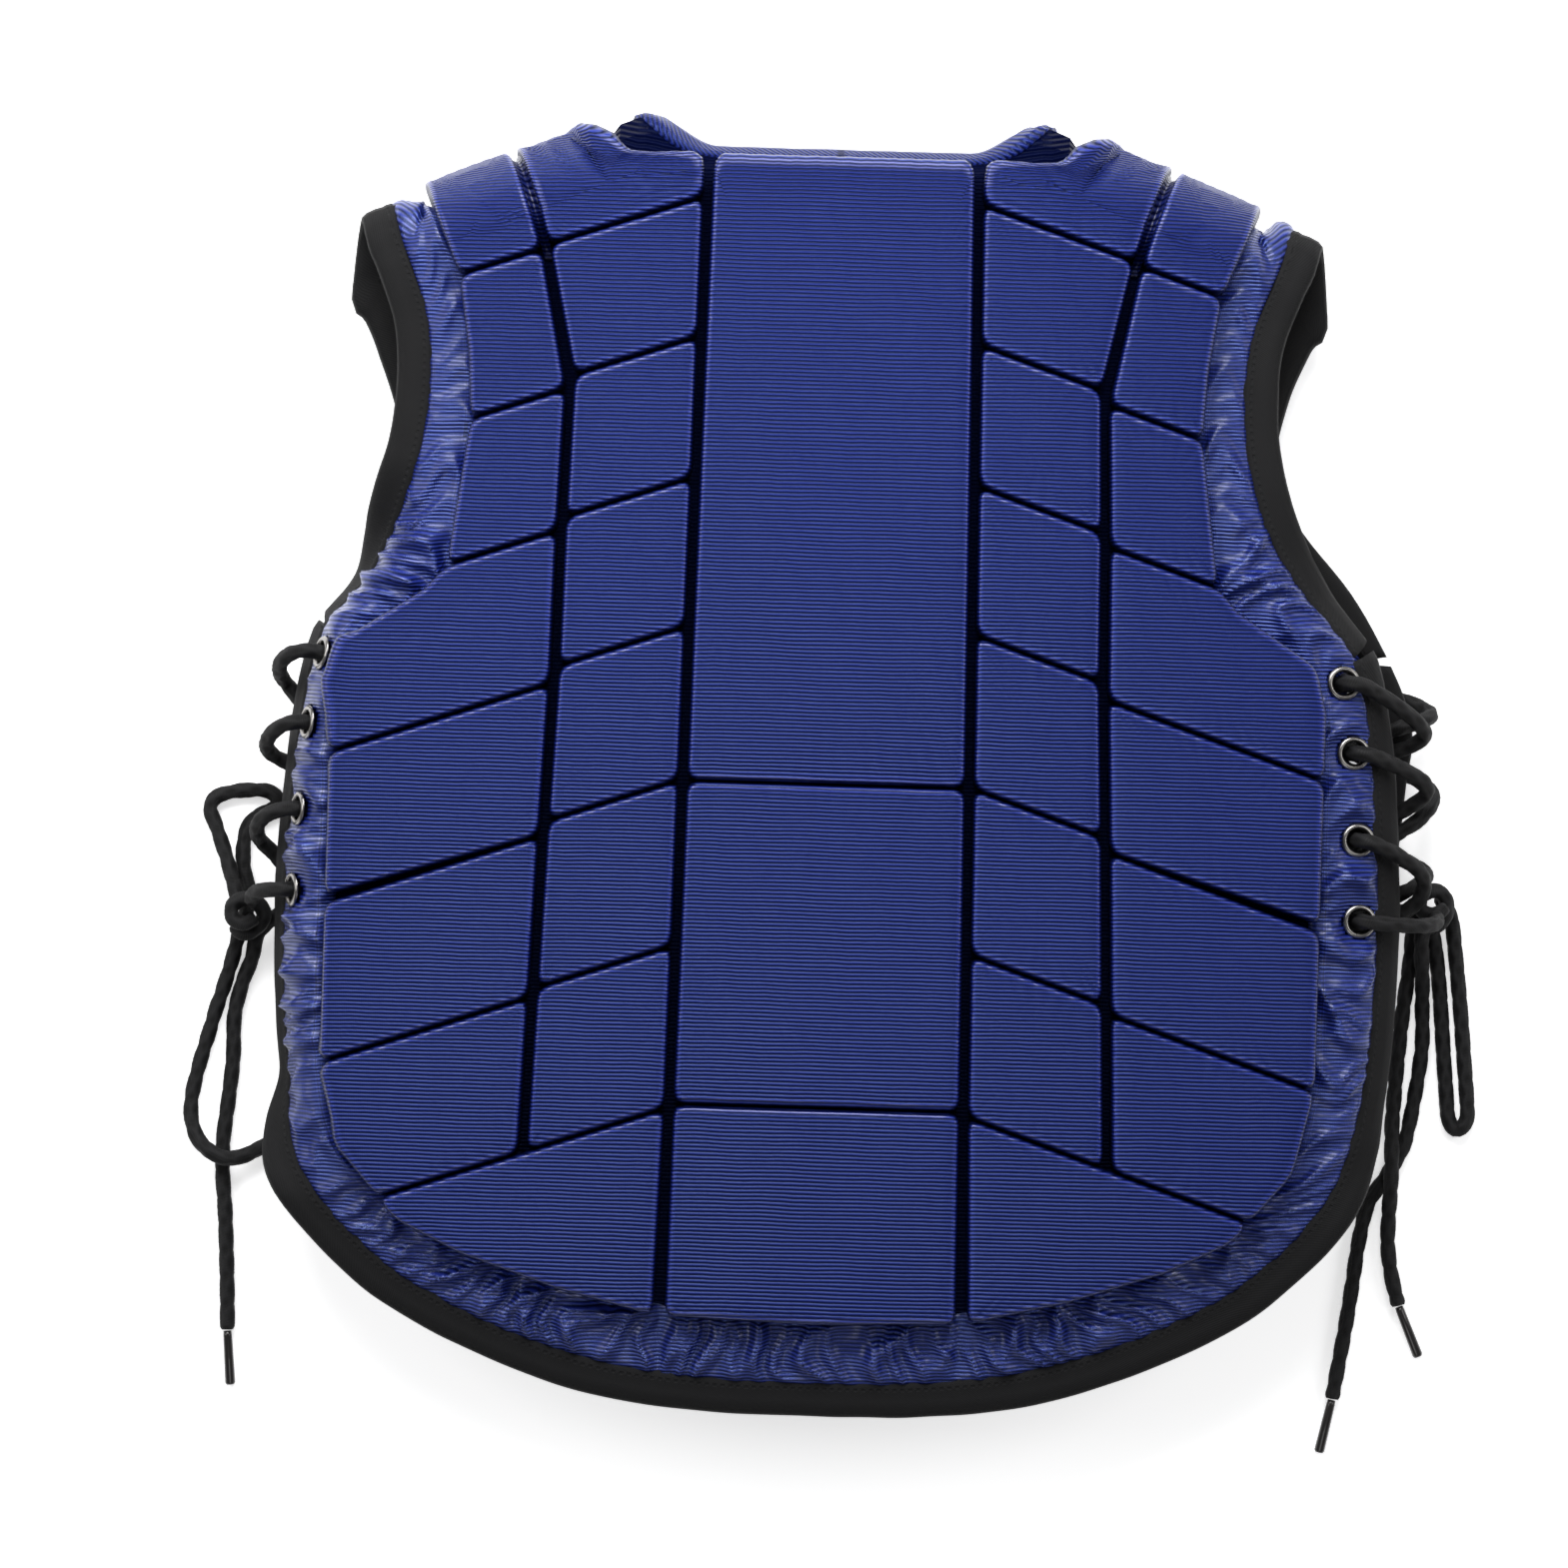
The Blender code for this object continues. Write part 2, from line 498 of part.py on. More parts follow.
def rounded(polygon, radius):
    """Polygon with each corner cut by a three-point arc where its edges leave room."""
    points = []
    for index, corner in enumerate(polygon):
        before = polygon[index - 1]
        after = polygon[(index + 1) % len(polygon)]
        reach_in = min(radius, CORNER_SHARE * math.dist(corner, before))
        reach_out = min(radius, CORNER_SHARE * math.dist(corner, after))
        start = Vector(corner).lerp(Vector(before), reach_in / math.dist(corner, before))
        end = Vector(corner).lerp(Vector(after), reach_out / math.dist(corner, after))
        heading = (Vector(corner) - Vector(before)).angle(Vector(after) - Vector(corner), 0.0)
        if heading < LEAST_CORNER:
            points.append(tuple(corner))
            continue
        middle = 0.25 * start + 0.5 * Vector(corner) + 0.25 * end
        points += [tuple(start), tuple(middle), tuple(end)]
    return points


# Meshes drawn on the pattern

def faces_where(mesh, test):
    faces = [face for face in mesh.faces if test(face.calc_center_median())]
    edges = {edge for face in faces for edge in face.edges}
    points = {point for face in faces for point in face.verts}
    return list(points) + list(edges) + faces


def cut(mesh, point, normal, test):
    bmesh.ops.bisect_plane(
        mesh, geom=faces_where(mesh, test), plane_co=point, plane_no=normal, dist=CUT_MERGE
    )


def on_back(centre):
    return centre.y < crest(centre.x)


def near_fold(centre):
    return 0.0 < centre.y - crest(centre.x) < FOLD_LENGTH


def cut_for_fold(mesh):
    """Add the edge lines that let a flat mesh bend round the shoulder and neck fold."""
    highest = max(point.co.y for point in mesh.verts)
    if highest < crest(HALF_WIDTH):
        return
    for side in (-1, 1):
        cut(mesh, (side * NECK_HALF_WIDTH, 0, 0), (1, 0, 0), lambda centre: True)
    for step in range(FOLD_STEPS + 1):
        past = FOLD_LENGTH * step / FOLD_STEPS
        neck = (0, NECK_CREST + past, 0)
        cut(mesh, neck, (0, 1, 0), lambda centre: abs(centre.x) < NECK_HALF_WIDTH)
        for side in (-1, 1):
            start = (side * NECK_HALF_WIDTH, NECK_CREST + past, 0)
            slope = (side * SHOULDER_SLOPE, 1, 0)
            cut(mesh, start, slope, lambda centre: side * centre.x > NECK_HALF_WIDTH)
    for share in CROWN_SHARES:
        for side in (-1, 1):
            cut(mesh, (side * share * HALF_WIDTH, 0, 0), (1, 0, 0), near_fold)


def cut_for_back(mesh):
    """Add a net of edges, so that a flat mesh follows the arch and the curl of the back."""
    count = int(HALF_LENGTH / ALONG_CELL)
    for index in range(-count, count + 1):
        cut(mesh, (0, index * ALONG_CELL, 0), (0, 1, 0), on_back)
    for share in ACROSS_CUTS:
        for side in (-1, 1):
            cut(mesh, (side * share * HALF_WIDTH, 0, 0), (1, 0, 0), on_back)


def on_drawn_front(centre):
    return centre.x < 0.0 and centre.y > crest(centre.x) + FOLD_LENGTH


def cut_for_front(mesh):
    """Add a net of edges on the side of the front panel that the lacing draws in."""
    for index in range(FRONT_CUT_COUNT):
        level = FRONT_CUT_START + index * FRONT_CUT_STEP
        cut(mesh, (0, level, 0), (0, 1, 0), on_drawn_front)
    for share in FRONT_ACROSS_CUTS:
        cut(mesh, (-share * HALF_WIDTH, 0, 0), (1, 0, 0), on_drawn_front)


def face_outwards(mesh):
    """Turn all faces of a closed mesh outwards."""
    bmesh.ops.recalc_face_normals(mesh, faces=mesh.faces)
    if mesh.calc_volume(signed=True) < 0.0:
        bmesh.ops.reverse_faces(mesh, faces=mesh.faces)


def lay_mesh(mesh):
    """Triangulate a pattern mesh while it is flat and lay it over the form."""
    bmesh.ops.triangulate(mesh, faces=mesh.faces)
    for point in mesh.verts:
        point.co = lay(*point.co)
    face_outwards(mesh)


def add_object(name, mesh, material, sharp=35.0):
    data = bpy.data.meshes.new(name)
    mesh.to_mesh(data)
    mesh.free()
    data.shade_smooth()
    data.set_sharp_from_angle(angle=math.radians(sharp))
    data.materials.append(material)
    thing = bpy.data.objects.new(name, data)
    bpy.context.scene.collection.objects.link(thing)
    return thing


def outline_edges(mesh, outline, rise):
    points = [mesh.verts.new((across, along, rise)) for across, along in outline]
    return [mesh.edges.new((points[index - 1], points[index])) for index in range(len(points))]


def make_sheet(name, outline, holes, material):
    """A cloth panel with its wall inside the form, cut through at each hole."""
    mesh = bmesh.new()
    edges = outline_edges(mesh, outline, 0.0)
    for hole in holes:
        edges += outline_edges(mesh, hole, 0.0)
    bmesh.ops.triangle_fill(mesh, use_beauty=True, use_dissolve=False, edges=edges)
    inner = [edge for edge in mesh.edges if not edge.is_boundary]
    bmesh.ops.dissolve_limit(mesh, angle_limit=FLAT_ANGLE, verts=[], edges=inner)
    cut_for_fold(mesh)
    cut_for_front(mesh)
    cut_for_back(mesh)
    bmesh.ops.triangulate(mesh, faces=mesh.faces)
    lining = bmesh.ops.extrude_face_region(mesh, geom=mesh.faces[:])
    for item in lining["geom"]:
        if isinstance(item, bmesh.types.BMVert):
            item.co.z = -SHELL_WALL
    lay_mesh(mesh)
    return add_object(name, mesh, material)


def make_pad(name, outline, edge_radius, material, long=False):
    """A foam pad on the cloth with bevelled outer edges; a long one is cut to follow the arch."""
    mesh = bmesh.new()
    base = mesh.faces.new([mesh.verts.new((*point, SEAT_GAP)) for point in outline])
    base.normal_update()
    if base.normal.z > 0:
        base.normal_flip()
    lifted = bmesh.ops.extrude_face_region(mesh, geom=[base], use_keep_orig=True)
    tops = [item for item in lifted["geom"] if isinstance(item, bmesh.types.BMVert)]
    for point in tops:
        point.co.z = PAD_RISE
    bmesh.ops.recalc_face_normals(mesh, faces=mesh.faces)
    rim = [edge for edge in mesh.edges if all(point in tops for point in edge.verts)]
    bmesh.ops.bevel(
        mesh, geom=rim, offset=edge_radius, segments=1, profile=0.5, affect="EDGES", clamp_overlap=True
    )
    cut_for_fold(mesh)
    cut_for_front(mesh)
    if long:
        cut_for_back(mesh)
    lay_mesh(mesh)
    return add_object(name, mesh, material)


def make_binding(name, route, width, closed, material):
    """A flat band along the edge of the cloth, on the left of its route."""
    low = -SHELL_WALL - BINDING_LIP
    turn = BINDING_TURN * width
    upper, lower = (share * low for share in BINDING_FOLD)
    section = [
        (BINDING_GAP, BINDING_LIP), (width - turn, BINDING_LIP), (width, upper),
        (width, lower), (width - turn, low), (BINDING_GAP, low),
    ]
    mesh = bmesh.new()
    rings = []
    for index, point in enumerate(route):
        before = route[index - 1] if index or closed else point
        after = route[(index + 1) % len(route)] if index + 1 < len(route) or closed else point
        heading = (Vector(after) - Vector(before)).normalized()
        rings.append([
            mesh.verts.new((point[0] - heading.y * out, point[1] + heading.x * out, rise))
            for out, rise in section
        ])
    pairs = list(zip(rings, rings[1:]))
    if closed:
        pairs.append((rings[-1], rings[0]))
    for ring, after in pairs:
        for index in range(len(section)):
            mesh.faces.new((ring[index - 1], ring[index], after[index], after[index - 1]))
    if not closed:
        mesh.faces.new(rings[0])
        mesh.faces.new(rings[-1][::-1])
    cut_for_fold(mesh)
    cut_for_front(mesh)
    cut_for_back(mesh)
    lay_mesh(mesh)
    return add_object(name, mesh, material)


def circle(centre, radius, count):
    turns = [math.tau * step / count for step in range(count)]
    return [(centre[0] + radius * math.cos(turn), centre[1] + radius * math.sin(turn)) for turn in turns]


def make_eyelet(name, centre, material):
    """A rolled metal ring through the cloth: a top flange and a barrel."""
    top = JOIN_GAP + EYELET_PLATE
    bottom = -SHELL_WALL - JOIN_GAP
    profile = [
        (EYELET_BORE, top), (EYELET_FLANGE, JOIN_GAP), (EYELET_BARREL, JOIN_GAP),
        (EYELET_BARREL, bottom), (EYELET_BORE, bottom),
    ]
    count = EYELET_SIDES
    mesh = bmesh.new()
    rings = [
        [mesh.verts.new(lay(*point, rise)) for point in circle(centre, radius, count)]
        for radius, rise in profile
    ]
    for index, ring in enumerate(rings):
        inner = rings[index - 1]
        for step in range(count):
            after = (step + 1) % count
            mesh.faces.new((inner[step], ring[step], ring[after], inner[after]))
    face_outwards(mesh)
    return add_object(name, mesh, material)


# The pieces

def eyelet_centres(side):
    """Pattern points of the eyelets of one laced edge, top to bottom."""
    centres = []
    for share in EYELET_ROWS:
        along = share * HALF_LENGTH
        reach = edge_reach(BACK_SIDE_EDGE, along) - EYELET_INSET
        centres.append((side * reach, along))
    return centres


def front_holes():
    """Outlines of the lace holes of the front panel, under the eyelets of the back."""
    outlines = []
    for side in (-1, 1):
        for share in EYELET_ROWS:
            along = share * HALF_LENGTH
            reach = edge_reach(FRONT_SIDE_EDGE, along) - EYELET_INSET
            seen = circle((side * reach, along), FRONT_HOLE_RADIUS, EYELET_SIDES)
            outlines.append([(across, under(across, place)) for across, place in seen])
    return outlines


def make_shells(cloth):
    holes = [
        circle(centre, EYELET_BARREL + EYELET_GAP, EYELET_SIDES)
        for side in (-1, 1) for centre in eyelet_centres(side)
    ]
    back = whole_outline(back_neck_curve(), back_armhole_curve(), back_side_curve())
    make_sheet("back_shell", back, holes, cloth)
    front = whole_outline(front_neck_curve()[::-1], front_armhole_curve(), front_side_curve())
    spaced = []
    for across, along in front:
        seam = crest(across) + FOLD_LENGTH
        spaced.append((across, max(along, seam + JOIN_GAP)))
    make_sheet("front_shell", spaced, front_holes(), cloth)


def make_bindings(cloth, binding):
    right_neck = back_neck_curve() + front_neck_curve()[1:]
    neck = right_neck + mirrored(right_neck)[-2:0:-1]
    make_binding("neck_binding", neck, NECK_BINDING_WIDTH, True, cloth)
    right_arm = back_armhole_curve()[::-1] + front_armhole_curve()[1:]
    make_binding("armhole_binding_right", right_arm[::-1], BINDING_WIDTH, False, binding)
    make_binding("armhole_binding_left", mirrored(right_arm), BINDING_WIDTH, False, binding)
    for name, curve, flip in (
        ("back_edge_binding", back_side_curve(), -1), ("front_edge_binding", front_side_curve(), 1)
    ):
        start = Vector(curve[0]).lerp(Vector(curve[1]), 4 * JOIN_GAP / math.dist(curve[0], curve[1]))
        right = [tuple(start)] + curve[1:]
        route = mirrored(right) + right[-2::-1]
        make_binding(name, route[::flip], BINDING_WIDTH, False, binding)


def line_across(start, slope):
    """Two points of a crease line that falls outwards from start."""
    return start, (start[0] + 1.0, start[1] - slope)


def groove_across(along):
    """Where the outer groove lies at a place along the back."""
    rows = scaled(OUTER_GROOVE)
    for (upper_across, upper), (lower_across, lower) in zip(rows, rows[1:]):
        if upper >= along >= lower:
            return upper_across + (lower_across - upper_across) * (upper - along) / (upper - lower)
    return rows[0][0]


def crease_lines(column):
    """Crease lines of the inner (0) or outer (1) side column, top to bottom."""
    lines = []
    centre = CENTRE_GROOVE[1][0] * HALF_WIDTH
    for share, step in SIDE_CREASES:
        start = (centre, (share - step * column) * HALF_LENGTH)
        lines.append(line_across(start, CREASE_SLOPE))
    return lines


def side_block(column, row):
    """Outline of one block of the right half: the inner (0) or outer (1) column, from the top."""
    lines = crease_lines(column)
    polygon = scaled(FOAM_EDGE)
    last = row == len(SIDE_CREASES)
    if row > 0:
        above = lines[row - 1]
        polygon = clip(polygon, above[1], above[0], CREASE_WIDTH / 2)
    if not last:
        below = lines[row]
        polygon = clip(polygon, below[0], below[1], CREASE_WIDTH / 2)
    if column == 1:
        upper, lower = groove_line(lines, row)
        polygon = clip(polygon, upper, lower, GROOVE_WIDTH / 2)
    else:
        polygon = clip(polygon, *scaled(CENTRE_GROOVE), GROOVE_WIDTH / 2)
        if not last:
            upper, lower = groove_line(lines, row)
            polygon = clip(polygon, lower, upper, GROOVE_WIDTH / 2)
    return rounded(tidied(polygon, SHORTEST_SIDE), BLOCK_CORNER)


def groove_line(lines, row):
    """The outer groove as one straight edge beside a block row."""
    upper = lines[row - 1] if row > 0 else None
    lower = lines[row] if row < len(lines) else None
    rows = scaled(OUTER_GROOVE)
    top = along_on_groove(upper) if upper else rows[0][1]
    bottom = along_on_groove(lower) if lower else rows[-1][1]
    return (groove_across(top), top), (groove_across(bottom), bottom)


def along_on_groove(line):
    """Where a crease line meets the outer groove."""
    along = line[0][1]
    for _ in range(CROSSING_STEPS):
        along = line[0][1] - CREASE_SLOPE * (groove_across(along) - line[0][0])
    return along


def make_blocks(cloth):
    rows = len(SIDE_CREASES)
    for side, word in ((-1, "left"), (1, "right")):
        for column, place in ((0, "inner"), (1, "outer")):
            for row in range(rows + 1 - column):
                outline = side_block(column, row)
                if side < 0:
                    outline = mirrored(outline)
                make_pad(f"{place}_block_{word}_{row + 1}", outline, BLOCK_EDGE, cloth)
    make_centre_blocks(cloth)


def make_centre_blocks(cloth):
    right = scaled(FOAM_EDGE)
    foam = right + mirrored(right)[-2:0:-1]
    upper, lower = scaled(CENTRE_GROOVE)
    foam = clip(foam, lower, upper, GROOVE_WIDTH / 2)
    foam = clip(foam, *mirrored([upper, lower]), GROOVE_WIDTH / 2)
    creases = [BEYOND_FOAM] + CENTRE_CREASES + [-BEYOND_FOAM]
    for row, (above, below) in enumerate(zip(creases, creases[1:])):
        top, bottom = above * HALF_LENGTH, below * HALF_LENGTH
        polygon = clip(foam, (1.0, top), (0.0, top), CREASE_WIDTH / 2)
        polygon = clip(polygon, (0.0, bottom), (1.0, bottom), CREASE_WIDTH / 2)
        outline = rounded(tidied(polygon, SHORTEST_SIDE), BLOCK_CORNER)
        make_pad(f"centre_block_{row + 1}", outline, BLOCK_EDGE, cloth, long=True)


def make_front_pads(cloth):
    outline = []
    for across, along in front_scaled(FRONT_PAD):
        outline.append((across, max(along, crest(across) + PAD_FOLD_START)))
    make_pad("front_pad_right", outline, PAD_EDGE, cloth)
    make_pad("front_pad_left", mirrored(outline), PAD_EDGE, cloth)


def make_zip(binding):
    half = ZIP_WIDTH / 2
    top = FRONT_NECK_EDGE[-1][1] * HALF_LENGTH - 2 * ZIP_WIDTH
    bottom = FRONT_SIDE_EDGE[-1][1] * HALF_LENGTH + ZIP_WIDTH
    corners = [(-half, top), (half, top), (half, bottom), (-half, bottom)]
    outline = [(across, under(across, along)) for across, along in corners]
    mesh = bmesh.new()
    face = mesh.faces.new([mesh.verts.new((*point, SEAT_GAP)) for point in rounded(outline, half)])
    lifted = bmesh.ops.extrude_face_region(mesh, geom=[face], use_keep_orig=True)
    for item in lifted["geom"]:
        if isinstance(item, bmesh.types.BMVert):
            item.co.z = SEAT_GAP + ZIP_THICKNESS
    lay_mesh(mesh)
    add_object("front_zip", mesh, binding)


def make_eyelets(metal):
    for side, word in ((-1, "left"), (1, "right")):
        for row, centre in enumerate(eyelet_centres(side)):
            make_eyelet(f"eyelet_{word}_{row + 1}", centre, metal)


def lace_points(rows):
    """Points along a smooth curve through a lace's route, with one more in each long step."""
    route = [Vector(row) * MILLIMETRE for row in rows]
    ends = [route[0]] + route + [route[-1]]
    points = []
    for before, start, end, after in zip(ends, ends[1:], ends[2:], ends[3:]):
        points.append(start)
        if (end - start).length > LACE_LONGEST_STEP:
            points.append(Vector(between(before, start, end, after, 0.5)))
    return points + [route[-1]]


def make_laces(cord):
    for name, rows in LACE_ROUTES.items():
        points = lace_points(rows)
        curve = bpy.data.curves.new(name, "CURVE")
        curve.dimensions = "3D"
        curve.bevel_depth = LACE_DIAMETER / 2
        curve.bevel_resolution = LACE_BEVEL_STEPS
        curve.use_fill_caps = True
        spline = curve.splines.new("POLY")
        spline.points.add(len(points) - 1)
        for point, place in zip(spline.points, points):
            point.co = (*place, 1.0)
        curve.materials.append(cord)
        thing = bpy.data.objects.new(name, curve)
        bpy.context.scene.collection.objects.link(thing)


def make_aglets(film):
    """The pressed ends of the laces: round rods with a chamfered tip."""
    for name, (first, last) in AGLET_PLACES.items():
        start = Vector(first) * MILLIMETRE
        end = Vector(last) * MILLIMETRE
        along = (end - start).normalized()
        sideways = along.cross(Vector((0, 0, 1))).normalized()
        upwards = sideways.cross(along)
        radius = AGLET_DIAMETER / 2
        profile = [
            (start, radius), (end - along * AGLET_CHAMFER, radius), (end, radius - AGLET_CHAMFER)
        ]
        mesh = bmesh.new()
        rings = []
        for middle, reach in profile:
            ring = circle((0, 0), reach, AGLET_SIDES)
            rings.append([mesh.verts.new(middle + sideways * x + upwards * y) for x, y in ring])
        for ring, after in zip(rings, rings[1:]):
            for step in range(AGLET_SIDES):
                mesh.faces.new((ring[step - 1], ring[step], after[step], after[step - 1]))
        mesh.faces.new(rings[0])
        mesh.faces.new(rings[-1])
        face_outwards(mesh)
        add_object(name, mesh, film)


def move_to_middle():
    """Move every piece, so that the middle of the vest's box is over the origin."""
    for thing in bpy.data.objects:
        thing.data.transform(Matrix.Translation(-BOX_MIDDLE))


def main():
    clear_scene()
    finishes = make_materials()
    make_shells(finishes["ribbed_satin"])
    make_bindings(finishes["ribbed_satin"], finishes["black_binding"])
    make_blocks(finishes["ribbed_satin"])
    make_front_pads(finishes["ribbed_satin"])
    make_zip(finishes["black_binding"])
    make_eyelets(finishes["dark_nickel"])
    make_laces(finishes["lace_cord"])
    make_aglets(finishes["aglet_film"])
    move_to_middle()


main()
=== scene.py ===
# %% [markdown]
# # A child's riding body protector, seen from above
# The vest lies on its front on a white table. Its back is a cover of ribbed satin over foam blocks,
# bound with black tape, and laced at both sides with round black laces. Every piece is placed in
# the same frame as the CAD model: metres, the floor at z = 0, and +Y towards the neck.

import math

import bmesh
import bpy
from mathutils import Matrix, Vector, noise


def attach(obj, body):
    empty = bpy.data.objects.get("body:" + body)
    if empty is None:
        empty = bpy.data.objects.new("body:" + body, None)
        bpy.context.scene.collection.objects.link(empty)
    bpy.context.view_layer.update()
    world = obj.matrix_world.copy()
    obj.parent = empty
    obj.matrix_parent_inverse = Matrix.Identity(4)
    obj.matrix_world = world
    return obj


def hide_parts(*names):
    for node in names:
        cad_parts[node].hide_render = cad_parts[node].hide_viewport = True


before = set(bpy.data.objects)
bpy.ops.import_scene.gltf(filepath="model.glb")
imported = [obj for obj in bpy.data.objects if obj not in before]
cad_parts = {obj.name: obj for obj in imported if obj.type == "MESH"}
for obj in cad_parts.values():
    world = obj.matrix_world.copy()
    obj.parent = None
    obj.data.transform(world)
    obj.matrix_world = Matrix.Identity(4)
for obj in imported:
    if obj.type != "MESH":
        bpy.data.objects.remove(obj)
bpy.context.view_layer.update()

# %% [markdown]
# ## Camera
# The photograph looks straight down with a long lens, and the vest is turned by a small angle in
# it. A far camera with a narrow lens keeps the edges of the vest where a flat drawing has them.

# %% Camera
FRAME_WIDTH = 0.604
CAMERA_DISTANCE = 3.0
BACK_LEVEL = 0.045
CAMERA_TURN = 0.0300
# From the spine and the middle of the back to the middle of the vest's box as it lies
BOX_MIDDLE = Vector((0.00708, -0.00070, 0.0))
CAMERA_PLACE = Vector((-0.0161, -0.0080, CAMERA_DISTANCE + BACK_LEVEL)) - BOX_MIDDLE
SENSOR_WIDTH = 36.0
CAMERA_REACH = 20.0

bpy.ops.object.camera_add(location=CAMERA_PLACE, rotation=(0, 0, CAMERA_TURN))
camera = bpy.context.object
camera.data.sensor_width = SENSOR_WIDTH
camera.data.lens = SENSOR_WIDTH * CAMERA_DISTANCE / FRAME_WIDTH
camera.data.clip_end = CAMERA_REACH
bpy.context.scene.camera = camera
print("lens", round(camera.data.lens, 1), "mm")

# %% [markdown]
# ## Small tools
# Most pieces are built from rings or grids of points. These helpers make a mesh object from them,
# close it, and store with each point its place on the cloth, which the materials read.

# %% Mesh helpers
def deselect():
    bpy.ops.object.select_all(action="DESELECT")


def mesh_object(name, points, faces, places):
    """A smooth object from points and faces, with the place of each point on the cloth."""
    data = bpy.data.meshes.new(name)
    data.from_pydata([tuple(point) for point in points], [], faces)
    store = data.attributes.new("cloth", "FLOAT_VECTOR", "POINT")
    store.data.foreach_set("vector", [value for place in places for value in place])
    data.shade_smooth()
    thing = bpy.data.objects.new(name, data)
    bpy.context.scene.collection.objects.link(thing)
    return thing


def ring_faces(rings, count, first=0):
    """Quads between closed rings of count points that follow each other."""
    faces = []
    for ring in range(rings - 1):
        low = first + ring * count
        for step in range(count):
            after = (step + 1) % count
            faces.append((low + step, low + after, low + count + after, low + count + step))
    return faces


def turn_outwards(thing):
    """Turn the faces of a closed piece outwards."""
    mesh = bmesh.new()
    mesh.from_mesh(thing.data)
    bmesh.ops.recalc_face_normals(mesh, faces=mesh.faces)
    if mesh.calc_volume(signed=True) < 0.0:
        bmesh.ops.reverse_faces(mesh, faces=mesh.faces)
    mesh.to_mesh(thing.data)
    mesh.free()


def finish_piece(thing, material):
    """Give a piece its material and let it ride on the vest."""
    thing.data.materials.clear()
    thing.data.materials.append(material)
    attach(thing, "root")


# %% [markdown]
# ## Shader maths
# One small class wraps a shader socket, so that a pattern reads as a formula. Each operator adds
# the Math node that it stands for.

# %% Shader class
class Socket:
    """A socket, with operators that add Math nodes behind it."""

    def __init__(self, tree, link):
        self.tree = tree
        self.link = link

    def node(self, kind, settings, inputs, output=0):
        made = self.tree.nodes.new(kind)
        for key, value in settings.items():
            setattr(made, key, value)
        for key, value in inputs.items():
            if isinstance(value, Socket):
                self.tree.links.new(value.link, made.inputs[key])
            else:
                made.inputs[key].default_value = value
        return Socket(self.tree, made.outputs[output])

    def math(self, operation, *others):
        inputs = dict(enumerate((self,) + others))
        return self.node("ShaderNodeMath", {"operation": operation}, inputs)

    def __add__(self, other):
        return self.math("ADD", other)

    def __radd__(self, other):
        return self.math("ADD", other)

    def __sub__(self, other):
        return self.math("SUBTRACT", other)

    def __rsub__(self, other):
        return (self * -1.0) + other

    def __mul__(self, other):
        return self.math("MULTIPLY", other)

    def __rmul__(self, other):
        return self.math("MULTIPLY", other)

    def sine(self):
        return self.math("SINE")

    def size(self):
        return self.math("ABSOLUTE")

    def between(self, low, high):
        """0 below low, 1 above high and a smooth step between them."""
        return self.node(
            "ShaderNodeMapRange",
            {"interpolation_type": "SMOOTHSTEP"},
            {"Value": self, "From Min": low, "From Max": high},
        )

    def tint(self, low, high):
        """A colour from low at 0 to high at 1."""
        settings = {"data_type": "RGBA", "clamp_factor": False}
        inputs = {0: self, 6: (*low, 1.0), 7: (*high, 1.0)}
        return self.node("ShaderNodeMix", settings, inputs, 2)

    def noise(self, scale, detail=2.0):
        """Noise at this vector, around 0.5."""
        return self.node("ShaderNodeTexNoise", {}, {"Vector": self, "Scale": scale, "Detail": detail})


def new_material(name, colour, roughness, metallic=0.0):
    """A material with its Principled shader, and the start of its formulas."""
    material = bpy.data.materials.new(name)
    material.use_nodes = True
    tree = material.node_tree
    shader = tree.nodes["Principled BSDF"]
    shader.inputs["Base Color"].default_value = (*colour, 1.0)
    shader.inputs["Roughness"].default_value = roughness
    shader.inputs["Metallic"].default_value = metallic
    material.diffuse_color = (*colour, 1.0)
    return material, shader, Socket(tree, None)


def feed(shader, name, socket):
    socket.tree.links.new(socket.link, shader.inputs[name])


def bumped(height, distance):
    return height.node("ShaderNodeBump", {}, {"Height": height, "Distance": distance, "Strength": 1.0})


def cloth_place(start):
    """The three numbers stored with each point: across, along and a depth or a side."""
    place = start.node("ShaderNodeAttribute", {"attribute_name": "cloth"}, {}, 1)
    split = start.node("ShaderNodeSeparateXYZ", {}, {0: place})
    parts = [Socket(start.tree, split.link.node.outputs[index]) for index in range(3)]
    return place, parts


# %% [markdown]
# ## Finishes
# The satin is woven with fine ribs that run across the vest, about one and a half millimetres
# apart. Each rib is a rounded ridge: its crest catches the light, and the valley between two ribs
# is darker. Besides the bump, the colour paints this in: a painted highlight on each crest and
# painted shade in each valley. The ribs follow the cloth, so they bend with every fold.

# %% Ribbed satin
RIB_PITCH = 0.00152
RIB_HEIGHT = 0.00034
RIB_WANDER = 0.0012
WANDER_SCALE = 38.0
PATCH_SCALE = 9.0
THREAD_PITCH = 0.0007
# Depths over which painted shade on the side of a block fades to full colour, and the painted highlight
# along its top
GROOVE_SHADE_DEPTH = 0.006
EDGE_IN = (0.0020, 0.0030)
EDGE_OUT = (0.0038, 0.0052)
EDGE_HIGHLIGHT_GAIN = 1.6
EDGE_SHINE = 1.0
# Painted light of the ribs: the crest colour carries a painted highlight and the valley colour painted
# shade; the crest colour is also the satin's base tone
SATIN_LIT_CREST = (0.010, 0.020, 0.185)
SATIN_VALLEY_SHADE = (0.0002, 0.0008, 0.010)
SATIN_SHINE = (0.34, 0.46, 1.0, 1.0)
SATIN_COAT_ROUGHNESS = 0.28


